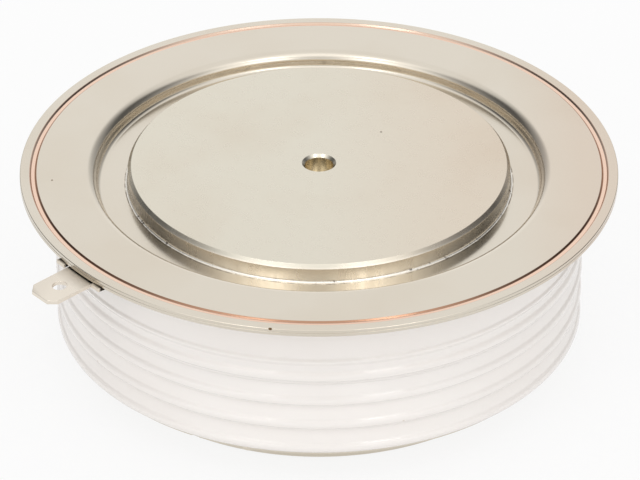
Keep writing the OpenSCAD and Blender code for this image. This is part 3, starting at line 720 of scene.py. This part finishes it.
below = valley(LOWEST_LIP + RIB_PITCH, LIP_R, RIB_DEPTH, RIB_UNDER)
top_lip = LOWEST_LIP + (RIB_COUNT - 1) * RIB_PITCH
band_lip = (CERAMIC_R - BAND_LIP_R, BAND_LIP)
band_outline = [
    *rib(top_lip, valley(BAND_LIP, BAND_LIP_R, BAND_VALLEY, BAND_UNDER), BAND_UNDER),
    *arc(band_lip, BAND_LIP_R, -BAND_UNDER, RIB_NOSE),
    *arc(toward(band_lip, 2 * BAND_LIP_R, RIB_NOSE), BAND_LIP_R, 180 + RIB_NOSE, 180),
    *arc((BAND_R - CERAMIC_CHAMFER, CERAMIC_TOP - CERAMIC_CHAMFER), CERAMIC_CHAMFER, 0, 90, 15),
    (BORE_R, CERAMIC_TOP), (BORE_R, CERAMIC_FOOT),
]
foot_object = section_line("foot_line", [(BORE_R, CERAMIC_FOOT), (CERAMIC_R - RIB_DEPTH, CERAMIC_FOOT)])
band_object = section_line("band_line", band_outline)
ceramic = section_line("glazed_ceramic_ring", rib(LOWEST_LIP, below, RIB_UNDER))
grow(ceramic, rib_stack, {
    "Foot": foot_object, "Band": band_object, "Ribs": RIB_COUNT - 1, "Pitch": RIB_PITCH * MM,
    "Finish": glazed_alumina,
})
grow(ceramic, turned_body, {"Steps round": CERAMIC_STEPS, "Finish": glazed_alumina})
settle(ceramic)
for helper in (foot_object, band_object):
    bpy.data.objects.remove(helper)


def lay_toward_gate(piece, z):
    """Lays a piece that was turned about Z along -X, at a height."""
    for vertex in piece.data.vertices:
        x, y, h = vertex.co
        vertex.co = (-h, y, x + z * MM)
    piece.data.flip_normals()


def plug(name, radius, low, high, finish):
    """A solid cylinder round Z, to cut a hole with."""
    return turned(name, [(0, low), (radius, low), (radius, high), (0, high)], finish, SMALL_STEPS)


def cut_away(piece, cutters):
    """Cuts solids out of a piece and removes them."""
    for cutter in cutters:
        modifier = piece.modifiers.new("cut", "BOOLEAN")
        modifier.operation = "DIFFERENCE"
        modifier.solver = "EXACT"
        modifier.object = cutter
    settle(piece)
    for cutter in cutters:
        bpy.data.objects.remove(cutter)


tube_cut = plug("tube_cut", TUBE_R, BORE_R - 1, CERAMIC_R + 1, glazed_alumina)
lay_toward_gate(tube_cut, TUBE_Z)
cut_away(ceramic, [tube_cut])
stands_for(ceramic, "ceramic_housing")

# The brazed joint and the weld ring on the ceramic
# Brazing foil holds a second sheet ring on the ceramic's top face. The rim of
# the cathode flange is cold-welded to it all round.

WELD_Z = LID_TOP - SHEET_T
WELD_RING_Z = WELD_Z - SHEET_T
CHANNEL_R = 29.3
RIM_R = 37.5
RIM_EDGE_R = 0.1
SEAM_EDGE_R = 0.05
GROOVE_HALF = 0.425
GROOVE_FLOOR_HALF = 0.23
GROOVE_DEPTH = 0.2
GROOVE_EASE = 0.05

ring_inner = CHANNEL_R + FOIL_INSET
top_braze = turned(
    "housing_top_braze_ring",
    flat_ring(ring_inner, BAND_R - CERAMIC_CHAMFER - FOIL_INSET, CERAMIC_TOP, WELD_RING_Z),
    silver_braze,
)
stands_for(top_braze, "housing_top_braze")


def groove(mouth, floor):
    """The weld groove's points from inside out, with its corners eased."""
    wall = GROOVE_HALF - GROOVE_FLOOR_HALF
    tall = floor - mouth
    ease = GROOVE_EASE / math.hypot(wall, tall)
    near_side = [
        (-GROOVE_HALF - GROOVE_EASE, mouth),
        (-GROOVE_HALF + wall * ease * 0.3, mouth + tall * ease * 0.3),
        (-GROOVE_HALF + wall * ease, mouth + tall * ease),
        (-GROOVE_FLOOR_HALF - wall * ease, floor - tall * ease),
        (-GROOVE_FLOOR_HALF - wall * ease * 0.3 + 0.004, floor - tall * ease * 0.25),
        (-GROOVE_FLOOR_HALF + GROOVE_EASE, floor),
    ]
    far_side = [(-r, z) for r, z in reversed(near_side)]
    return [(WELD_GROOVE_R + r, z) for r, z in near_side + far_side]


weld_ring = turned(
    "weld_ring_sheet",
    [
        (ring_inner, WELD_Z), (ring_inner, WELD_RING_Z),
        *groove(WELD_RING_Z, WELD_RING_Z + GROOVE_DEPTH),
        *arc((RIM_R - RIM_EDGE_R, WELD_RING_Z + RIM_EDGE_R), RIM_EDGE_R, -90, 0, 15),
        *arc((RIM_R - SEAM_EDGE_R, WELD_Z - SEAM_EDGE_R), SEAM_EDGE_R, 0, 90, 30),
        (ring_inner, WELD_Z),
    ],
    sheet_nickel,
)
stands_for(weld_ring, "weld_ring")

# The gate tube
# A nickel-plated tube brazed through the ceramic's plain band, on the side away
# from the camera. The gate lead leaves the housing through it.

TUBE_BORE_R = 1.0
TUBE_START = 28.7
TUBE_END = 35.95
TUBE_EDGE = 0.1

# Bright nickel plate on small stamped and drawn parts, with painted shade
# where the cathode blade lies in the gap under the rim, and dull beside it
TAB_GAP_Y = 35.3
TAB_GAP_HALF = 2.15
TAB_DULL_Y = 38.0
TAB_DULL_HALF = 1.1
TAB_DULL_ROUGHNESS = 0.55
TONE_MM = 5
BRIGHT_GRAIN_MM = 0.4
bright_nickel, tree, shader, place = new_finish("bright_nickel_on_stamped_copper")
tones = add(tree, "ShaderNodeTexNoise", {"Vector": place, "Scale": per_mm(TONE_MM), "Detail": 2})
length = add(tree, "ShaderNodeSeparateXYZ", {"Vector": place}).outputs["Y"]
# Painted shade: the blade is dark where it lies in the gap under the rim
gap_painted_shade = near(tree, length, -TAB_GAP_Y, TAB_GAP_HALF, 0.12)
plate = layered(tree, "#EEE6D9", (tones, "#E7DCCD"), (gap_painted_shade, "#332C25"))
gloss = add(tree, "ShaderNodeMapRange", {
    "Value": tones, "From Min": NOISE_LOW, "From Max": NOISE_HIGH, "To Min": 0.2, "To Max": 0.3,
})
dull = near(tree, length, -TAB_DULL_Y, TAB_DULL_HALF, 0.7)
gloss = add(tree, "ShaderNodeMix", {"Factor": dull, "A": gloss, "B": TAB_DULL_ROUGHNESS})
grain = add(tree, "ShaderNodeTexNoise", {"Vector": place, "Scale": per_mm(BRIGHT_GRAIN_MM), "Detail": 2})
complete(tree, shader, plate, gloss, (grain, 0.12, 0.02))

gate_tube = turned(
    "gate_tube_sleeve",
    [
        (TUBE_BORE_R, TUBE_START), (TUBE_R, TUBE_START), (TUBE_R, TUBE_END - TUBE_EDGE),
        (TUBE_R - TUBE_EDGE, TUBE_END), (TUBE_BORE_R, TUBE_END), (TUBE_BORE_R, TUBE_START),
    ],
    bright_nickel, SMALL_STEPS,
)
lay_toward_gate(gate_tube, TUBE_Z)
stands_for(gate_tube, "gate_tube")

# The semiconductor stack
# The silicon wafer lies between two lapped molybdenum discs. Rubber seals its
# bevelled edge, and a plastic ring centres the stack between the poles.


def dress(nodes, material):
    """Gives CAD nodes a finish."""
    for name in nodes:
        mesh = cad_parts[name].data
        mesh.materials.clear()
        mesh.materials.append(material)


def mottled_finish(name, patch, detail, tone, other, roughness, relief=None, metallic=1):
    """A plain finish of two close tones, in patches of a size."""
    material, tree, shader, place = new_finish(name)
    patches = add(tree, "ShaderNodeTexNoise", {"Vector": place, "Scale": per_mm(patch), "Detail": detail})
    relief = relief and (patches, *relief)
    complete(tree, shader, layered(tree, tone, (patches, other)), roughness, relief, metallic)
    return material


# Lapped molybdenum: grey, even and matt, from fine grit in all directions
molybdenum = mottled_finish("lapped_molybdenum", 0.25, 4, "#9A9A9E", "#86868A", 0.42, relief=(0.15, 0.01))
dress(["anode_disc", "cathode_disc"], molybdenum)

# Polished silicon with a thin metal layer: dark, mirror-like and a little blue
silicon = mottled_finish("polished_metallised_silicon", 12, 1, "#5B6070", "#6A6C76", 0.08)
dress(["silicon_wafer"], silicon)

# Silicone rubber, cast round the wafer's edge: milky and soft-looking
edge_rubber = mottled_finish("cast_silicone_rubber", 3, 2, "#D8D8D0", "#CBCBC2", 0.45, metallic=0)
dress(["edge_seal"], edge_rubber)

# Turned white insulating plastic: matt, with fine turning lines
white_plastic, tree, shader, place = new_finish("turned_white_plastic")
FEED_MM = 0.3
lines = add(
    tree, "ShaderNodeTexWave", {"Vector": place, "Scale": per_mm(FEED_MM) / math.tau, "Distortion": 0.5},
    bands_direction="Z",
).outputs["Fac"]
plastic = layered(tree, "#EDEDE8", (lines, "#E2E2DC"))
complete(tree, shader, plastic, 0.55, (lines, 0.2, 0.02), metallic=0)
dress(["centring_ring", "gate_cup"], white_plastic)
dress(["anode_pole_braze"], silver_braze)

# The gate contact
# A copper pin stands on the middle of the wafer. A steel coil spring with flat
# ends presses it down from the insulating cup in the cathode pole.

SPRING_R = 2.0
SPRING_WIRE_R = 0.25
SPRING_Z = 16.05
CUP_CEILING = 19.5
SPRING_TURNS = 4
SPRING_FLAT_TURNS = 0.42
SPRING_STEPS = 48

# Bare copper: warm, soft sheen, a little dulled by air
bare_copper = mottled_finish("bare_drawn_copper", 2, 3, "#E0A184", "#B87A5C", 0.32)
dress(["gate_pin"], bare_copper)

# Drawn spring steel: grey and fairly bright
spring_steel = mottled_finish("drawn_spring_steel", 0.6, 2, "#B4B5B8", "#9C9DA0", 0.28)


def draw_wire(tree, path, sides, radius, caps, finish):
    """Ends a tree with a round wire along a path."""
    section = add(tree, "GeometryNodeCurvePrimitiveCircle", {"Resolution": sides, "Radius": radius})
    wire = add(tree, "GeometryNodeCurveToMesh", {"Curve": path, "Profile Curve": section, "Fill Caps": caps})
    end_tree(tree, wire, finish)


# Winds a wire round Z: its flat turns stay level, and those between them climb
coil, given = new_tree("coil_spring", {
    "Turns": "Float", "Flat turns": "Float", "Steps a turn": "Int", "Coil radius": "Float",
    "Wire radius": "Float", "Foot": "Float", "Rise": "Float", "Finish": "Material",
})
points_all = add(
    coil, "ShaderNodeMath", {0: given["Turns"], 1: given["Steps a turn"], 2: 1}, operation="MULTIPLY_ADD",
)
wire_line = add(coil, "GeometryNodeMeshLine", {"Count": points_all})
index = add(coil, "GeometryNodeInputIndex")
turn_now = add(coil, "ShaderNodeMath", {0: index, 1: given["Steps a turn"]}, operation="DIVIDE")
flat_end = add(coil, "ShaderNodeMath", {0: given["Turns"], 1: given["Flat turns"]}, operation="SUBTRACT")
climb = add(coil, "ShaderNodeMapRange", {
    "Value": turn_now, "From Min": given["Flat turns"], "From Max": flat_end,
})
rise_now = add(
    coil, "ShaderNodeMath", {0: climb, 1: given["Rise"], 2: given["Foot"]}, operation="MULTIPLY_ADD",
)
start_point = add(coil, "ShaderNodeCombineXYZ", {"X": given["Coil radius"], "Z": rise_now})
turn_angle = add(coil, "ShaderNodeMath", {0: turn_now, 1: math.tau}, operation="MULTIPLY")
coil_point = add(
    coil, "ShaderNodeVectorRotate", {"Vector": start_point, "Angle": turn_angle}, rotation_type="Z_AXIS",
)
wound = add(coil, "GeometryNodeSetPosition", {"Geometry": wire_line, "Position": coil_point})
wound = add(coil, "GeometryNodeMeshToCurve", {"Mesh": wound})
draw_wire(coil, wound, 16, given["Wire radius"], True, given["Finish"])

gate_spring = line_object("gate_coil_spring", [(0, 0, 0), (0, 0, 1)])
grow(gate_spring, coil, {
    "Turns": float(SPRING_TURNS), "Flat turns": SPRING_FLAT_TURNS, "Steps a turn": SPRING_STEPS,
    "Coil radius": SPRING_R * MM, "Wire radius": SPRING_WIRE_R * MM,
    "Foot": (SPRING_Z + SPRING_WIRE_R) * MM, "Rise": (CUP_CEILING - SPRING_Z - 2 * SPRING_WIRE_R) * MM,
    "Finish": spring_steel,
})
settle(gate_spring)
stands_for(gate_spring, "gate_spring")

# The gate lead and its sleeve
# A copper wire in a red plastic sleeve. It runs from the pin through the slot
# in the pole, up beside the pole and out through the gate tube.

LEAD_R = 0.4
SLEEVE_R = 0.8
SLEEVE_INNER_R = 0.45
LEAD_LOW = 15.55
LEAD_BEND_R = 1.3
LEAD_START = 1.05
LEAD_TURN = 26.6
LEAD_END = 36.45
SLEEVE_START = 3.45
SLEEVE_END = 31.175

# Red plastic insulation, extruded: smooth and a little glossy
red_sleeve = mottled_finish("extruded_red_insulation", 1.5, 2, "#A93428", "#962B21", 0.35, metallic=0)

# Rounds the corners of a line and draws a wire or an open sleeve along it
routed_wire, given = new_tree(
    "routed_wire", {"Bend radius": "Float", "Radius": "Float", "Close ends": "Bool", "Finish": "Material"},
)
path = add(routed_wire, "GeometryNodeMeshToCurve", {"Mesh": given["Line"]})
path = add(
    routed_wire, "GeometryNodeFilletCurve", {"Curve": path, "Count": 12, "Radius": given["Bend radius"]},
    mode="POLY",
)
draw_wire(routed_wire, path, 32, given["Radius"], given["Close ends"], given["Finish"])


def routed(name, start, end, radius, close_ends, finish):
    """A wire or a sleeve on the lead's route, between two distances from the axis."""
    corners = [(-start, 0, LEAD_LOW), (-LEAD_TURN, 0, LEAD_LOW), (-LEAD_TURN, 0, TUBE_Z), (-end, 0, TUBE_Z)]
    piece = line_object(name, corners)
    grow(piece, routed_wire, {
        "Bend radius": LEAD_BEND_R * MM, "Radius": radius * MM, "Close ends": close_ends, "Finish": finish,
    })
    settle(piece)
    return piece


gate_lead = routed("gate_copper_lead", LEAD_START, LEAD_END, LEAD_R, True, bare_copper)
stands_for(gate_lead, "gate_lead")

gate_sleeve = routed("gate_lead_sleeve", SLEEVE_START, SLEEVE_END, SLEEVE_R, False, red_sleeve)
wall = gate_sleeve.modifiers.new("wall", "SOLIDIFY")
wall.thickness = (SLEEVE_R - SLEEVE_INNER_R) * MM
wall.offset = -1
settle(gate_sleeve)
stands_for(gate_sleeve, "gate_sleeve")

# The cathode pole
# The upper copper pole, turned and nickel plated, with the cathode contact face
# on top. Below it has the gate contact's bore and the slot for the lead.

CATHODE_POLE_H = 12.0
CATHODE_SEAT = 23.15
GATE_BORE_R = 3.5
GATE_BORE_TOP = 20.5
SLOT_W = 2.2
SLOT_TOP = 16.65
CATHODE_POLE_Z = TOTAL_H - CATHODE_POLE_H

upside_down = pole_outline(CATHODE_POLE_H, TOTAL_H - CATHODE_SEAT)
cathode_pole = turned("cathode_contact_pole", [(r, TOTAL_H - z) for r, z in upside_down], turned_nickel)
bore = plug("gate_bore", GATE_BORE_R, CATHODE_POLE_Z - 1, GATE_BORE_TOP, turned_nickel)
slot_mesh = bpy.data.meshes.new("lead_slot")
slot = bpy.data.objects.new("lead_slot", slot_mesh)
scene.collection.objects.link(slot)
shape = bmesh.new()
bmesh.ops.create_cube(shape, size=1)
low = Vector((-POLE_R - 1, -SLOT_W / 2, CATHODE_POLE_Z - 1))
high = Vector((0, SLOT_W / 2, SLOT_TOP))
for vertex in shape.verts:
    vertex.co = [(low[i] if vertex.co[i] < 0 else high[i]) * MM for i in range(3)]
shape.to_mesh(slot_mesh)
shape.free()
cut_away(cathode_pole, [bore, slot])
stands_for(cathode_pole, "cathode_pole")

# The cathode flange
# One pressed sheet of nickel-plated copper, brazed on the pole's shoulder. A
# channel round the pole lets it flex, and a cold weld closes its rim.

CHANNEL_Z = 23.6
CHANNEL_SLOPE = 80
CHANNEL_BEND_R = 1.35
CHANNEL_FOOT_R = 0.6

wall_angle = 90 + CHANNEL_SLOPE
slope = math.radians(CHANNEL_SLOPE)
bend = (CHANNEL_R, LID_TOP - CHANNEL_BEND_R)
bend_end = toward(bend, CHANNEL_BEND_R, wall_angle)
foot_end_z = CHANNEL_Z + CHANNEL_FOOT_R * (1 - math.cos(slope))
wall_length = (bend_end[1] - foot_end_z) / math.sin(slope)
foot_end = toward(bend_end, -wall_length, CHANNEL_SLOPE)
foot = toward(foot_end, CHANNEL_FOOT_R, wall_angle)
cathode_flange = turned(
    "pressed_cathode_flange",
    [
        (POLE_R, CHANNEL_Z),
        *arc(foot, CHANNEL_FOOT_R, 270, wall_angle + 180),
        *arc(bend, CHANNEL_BEND_R, wall_angle, 90, 4),
        *groove(LID_TOP, LID_TOP - GROOVE_DEPTH),
        *arc((RIM_R - RIM_EDGE_R, LID_TOP - RIM_EDGE_R), RIM_EDGE_R, 90, 0, 15),
        *arc((RIM_R - SEAM_EDGE_R, WELD_Z + SEAM_EDGE_R), SEAM_EDGE_R, 0, -90, 30),
        *arc(bend, CHANNEL_BEND_R - SHEET_T, 90, wall_angle),
        *arc(foot, CHANNEL_FOOT_R + SHEET_T, wall_angle + 180, 270),
        (POLE_R, CATHODE_SEAT), (POLE_R, CHANNEL_Z),
    ],
    sheet_nickel,
)
stands_for(cathode_flange, "cathode_flange")

# The brazed fillet round the cathode pole
# Silver braze drawn up between the pole and the channel's floor. It shows as a
# bright, slightly uneven line.

FILLET_LEG = 0.3
FILLET_WANDER = 0.03

fillet = turned(
    "cathode_pole_braze_fillet",
    [
        (POLE_R, CHANNEL_Z),
        *arc((POLE_R + FILLET_LEG, CHANNEL_Z + FILLET_LEG), FILLET_LEG, 270, 180, 10),
        (POLE_R, CHANNEL_Z),
    ],
    silver_braze, UNEVEN_STEPS,
)
for vertex in fillet.data.vertices:
    spot = math.atan2(vertex.co.y, vertex.co.x)
    wander = sum(math.sin(spot * n + n * n) for n in (23, 41, 67, 97)) / 4 * FILLET_WANDER
    reach = math.hypot(vertex.co.x, vertex.co.y)
    beyond = (reach - POLE_R * MM) / (FILLET_LEG * MM)
    grown = reach + wander * MM * max(0, min(1, beyond))
    vertex.co.x *= grown / reach
    vertex.co.y *= grown / reach
stands_for(fillet, "cathode_pole_braze")

# The cathode terminal
# A blade stamped from nickel-plated sheet, spot-welded by its foot under the
# weld rim. Two slits free the blade, which steps down and has a wire hole. It
# is bent a little down and to one side, as blades get in handling.

TAB_W = 4.8
TAB_T = 0.5
TAB_TIP = 43.6
TAB_FOOT = 37.7
TAB_ROOT = 35.6
TAB_STEP_END = 36.6
TAB_INNER = 34.2
TAB_FOOT_W = 8.5
TAB_SLIT_W = 0.35
TAB_CHAMFER = 0.95
TAB_HOLE_R = 0.9
TAB_HOLE_INSET = 3.1
TAB_DROP = 0.22
TAB_EDGE_R = 0.06
TAB_SLOPE = 0.06
TAB_YAW = 0.03


def circle(x, y, radius, steps=64):
    """Points of a circle."""
    return arc((x, y), radius, 0, 360, 360 / steps)[:-1]


def stamped(name, outer, holes, thickness, bend_lines, bent, finish, edge):
    """A stamped and bent sheet, from its flat pattern of distance and width.

    Each bend line is a distance at which the sheet may bend. bent gives the
    place of a point from its distance, its width and its depth in the sheet."""
    shape = bmesh.new()
    for loop in [outer, *holes]:
        corners = [shape.verts.new((u, v, 0)) for u, v in loop]
        for a, b in zip(corners, corners[1:] + corners[:1]):
            shape.edges.new((a, b))
    bmesh.ops.triangle_fill(shape, edges=shape.edges, use_beauty=True)
    bmesh.ops.dissolve_limit(
        shape, angle_limit=0.01, verts=shape.verts, edges=shape.edges, use_dissolve_boundaries=False,
    )
    for line in bend_lines:
        everything = [*shape.verts, *shape.edges, *shape.faces]
        bmesh.ops.bisect_plane(shape, geom=everything, dist=1e-5, plane_co=(line, 0, 0), plane_no=(1, 0, 0))
    grown = bmesh.ops.extrude_face_region(shape, geom=list(shape.faces))
    for item in grown["geom"]:
        if isinstance(item, bmesh.types.BMVert):
            item.co.z = thickness
    for vertex in shape.verts:
        vertex.co = [c * MM for c in bent(*vertex.co)]
    bmesh.ops.recalc_face_normals(shape, faces=shape.faces)
    mesh = bpy.data.meshes.new(name)
    shape.to_mesh(mesh)
    shape.free()
    piece = bpy.data.objects.new(name, mesh)
    scene.collection.objects.link(piece)
    mesh.materials.append(finish)
    edges = piece.modifiers.new("edges", "BEVEL")
    edges.width = edge * MM
    edges.segments = 3
    edges.limit_method = "ANGLE"
    edges.angle_limit = math.radians(50)
    settle(piece, 13)
    return piece


tab_half = TAB_W / 2
foot_half = TAB_FOOT_W / 2
wing_inner = tab_half + TAB_SLIT_W
tab_pattern = [
    (TAB_INNER, -foot_half), (TAB_FOOT, -foot_half), (TAB_FOOT, -wing_inner), (TAB_ROOT, -wing_inner),
    (TAB_ROOT, -tab_half), (TAB_TIP - TAB_CHAMFER, -tab_half), (TAB_TIP, -tab_half + TAB_CHAMFER),
    (TAB_TIP, tab_half - TAB_CHAMFER), (TAB_TIP - TAB_CHAMFER, tab_half), (TAB_ROOT, tab_half),
    (TAB_ROOT, wing_inner), (TAB_FOOT, wing_inner), (TAB_FOOT, foot_half), (TAB_INNER, foot_half),
]


def tab_bent(y, x, depth):
    """Steps the blade down beyond its root, in an S bend, and leaves the wings."""
    if abs(x) > tab_half + TAB_SLIT_W / 2:
        return (x, -y, WELD_RING_Z - TAB_T + depth)
    share = max(0, min(1, (y - TAB_ROOT) / (TAB_STEP_END - TAB_ROOT)))
    share = 3 * share ** 2 - 2 * share ** 3
    beyond = max(0, y - TAB_STEP_END)
    inward = share * TAB_YAW * (x + tab_half - TAB_CHAMFER)
    drop = share * TAB_DROP + TAB_SLOPE * beyond
    return (x + TAB_YAW * beyond, inward - y, WELD_RING_Z - TAB_T + depth - drop)


step_lines = [TAB_ROOT + (TAB_STEP_END - TAB_ROOT) * i / 10 for i in range(1, 11)]
cathode_tab = stamped(
    "cathode_blade_terminal", tab_pattern,
    [circle(TAB_TIP - TAB_HOLE_INSET, 0, TAB_HOLE_R)], TAB_T, step_lines, tab_bent, bright_nickel, TAB_EDGE_R,
)
stands_for(cathode_tab, "cathode_terminal")

# The gate terminal
# A smaller blade stamped from the same sheet. Its eyelet sits on the gate tube,
# below which it bends outwards.

EYE_X = 34.35
EYE_R = 2.55
GATE_T = 0.5
GATE_W = 2.8
GATE_TIP = 40.95
GATE_CHAMFER = 0.6
GATE_HOLE_R = 0.6
GATE_HOLE_INSET = 2.2
GATE_BEND_R = 0.4
GATE_BLADE_Z = TUBE_Z - EYE_R

bend_start = EYE_R - GATE_BEND_R
bend_length = math.pi / 2 * (GATE_BEND_R + GATE_T / 2)
straight = GATE_TIP - (EYE_X + GATE_T + GATE_BEND_R)
pattern_end = bend_start + bend_length + straight


def gate_bent(along, across, depth):
    """Bends the blade outwards below its eyelet."""
    turn = max(0, min(1, (along - bend_start) / bend_length)) * math.pi / 2
    centre_x = EYE_X + GATE_T + GATE_BEND_R
    centre_z = GATE_BLADE_Z + GATE_BEND_R
    reach = GATE_BEND_R + GATE_T - depth
    past = max(0, along - bend_start - bend_length)
    before = max(0, bend_start - along)
    x = centre_x - reach * math.cos(turn) + past
    z = centre_z - reach * math.sin(turn) + before
    return (-x, across, z)


tongue_half = GATE_W / 2
eye_join = math.degrees(math.asin(tongue_half / EYE_R))
gate_pattern = [
    *arc((0, 0), EYE_R, eye_join, 360 - eye_join, 4.9),
    (pattern_end - GATE_CHAMFER, -tongue_half), (pattern_end, -tongue_half + GATE_CHAMFER),
    (pattern_end, tongue_half - GATE_CHAMFER), (pattern_end - GATE_CHAMFER, tongue_half),
]
gate_blade = stamped(
    "gate_blade_terminal", gate_pattern,
    [circle(0, 0, TUBE_R), circle(pattern_end - GATE_HOLE_INSET, 0, GATE_HOLE_R, 48)],
    GATE_T, [bend_start + bend_length * i / 8 for i in range(9)], gate_bent, bright_nickel, TAB_EDGE_R,
)
stands_for(gate_blade, "gate_terminal")

# The solder on the gate tube
# A bead of solder closes the tube's end round the lead and holds the eyelet. It
# sinks a little between the tube and the lead.

SOLDER_START = EYE_X + GATE_T
# The bead's outline: radius, and height above its start and above the tube's end
SOLDER_SIDE = [(2.1, 0), (2.03, 0.3), (1.98, 0.6), (1.88, 0.9)]
SOLDER_TOP = [(1.75, 0.02), (1.45, 0.16), (1.1, 0.3), (0.8, 0.43), (0.6, 0.48)]

# Tin solder as it set: bright and smooth with a faint frost
tin_solder, tree, shader, place = new_finish("tin_solder_as_flowed")
FROST_MM = 0.7
frost = add(tree, "ShaderNodeTexNoise", {"Vector": place, "Scale": per_mm(FROST_MM), "Detail": 3})
gloss = add(tree, "ShaderNodeMapRange", {"Value": frost, "To Min": 0.15, "To Max": 0.35})
complete(tree, shader, layered(tree, "#CBCCCF", (frost, "#B5B6BA")), gloss)

solder = turned(
    "gate_solder_bead",
    [
        (TUBE_R, SOLDER_START),
        *[(r, SOLDER_START + above) for r, above in SOLDER_SIDE],
        *[(r, TUBE_END + above) for r, above in SOLDER_TOP],
        (LEAD_R, LEAD_END), (LEAD_R, TUBE_END), (TUBE_R, TUBE_END), (TUBE_R, SOLDER_START),
    ],
    tin_solder, SMALL_STEPS,
)
lay_toward_gate(solder, TUBE_Z)
stands_for(solder, "gate_solder")
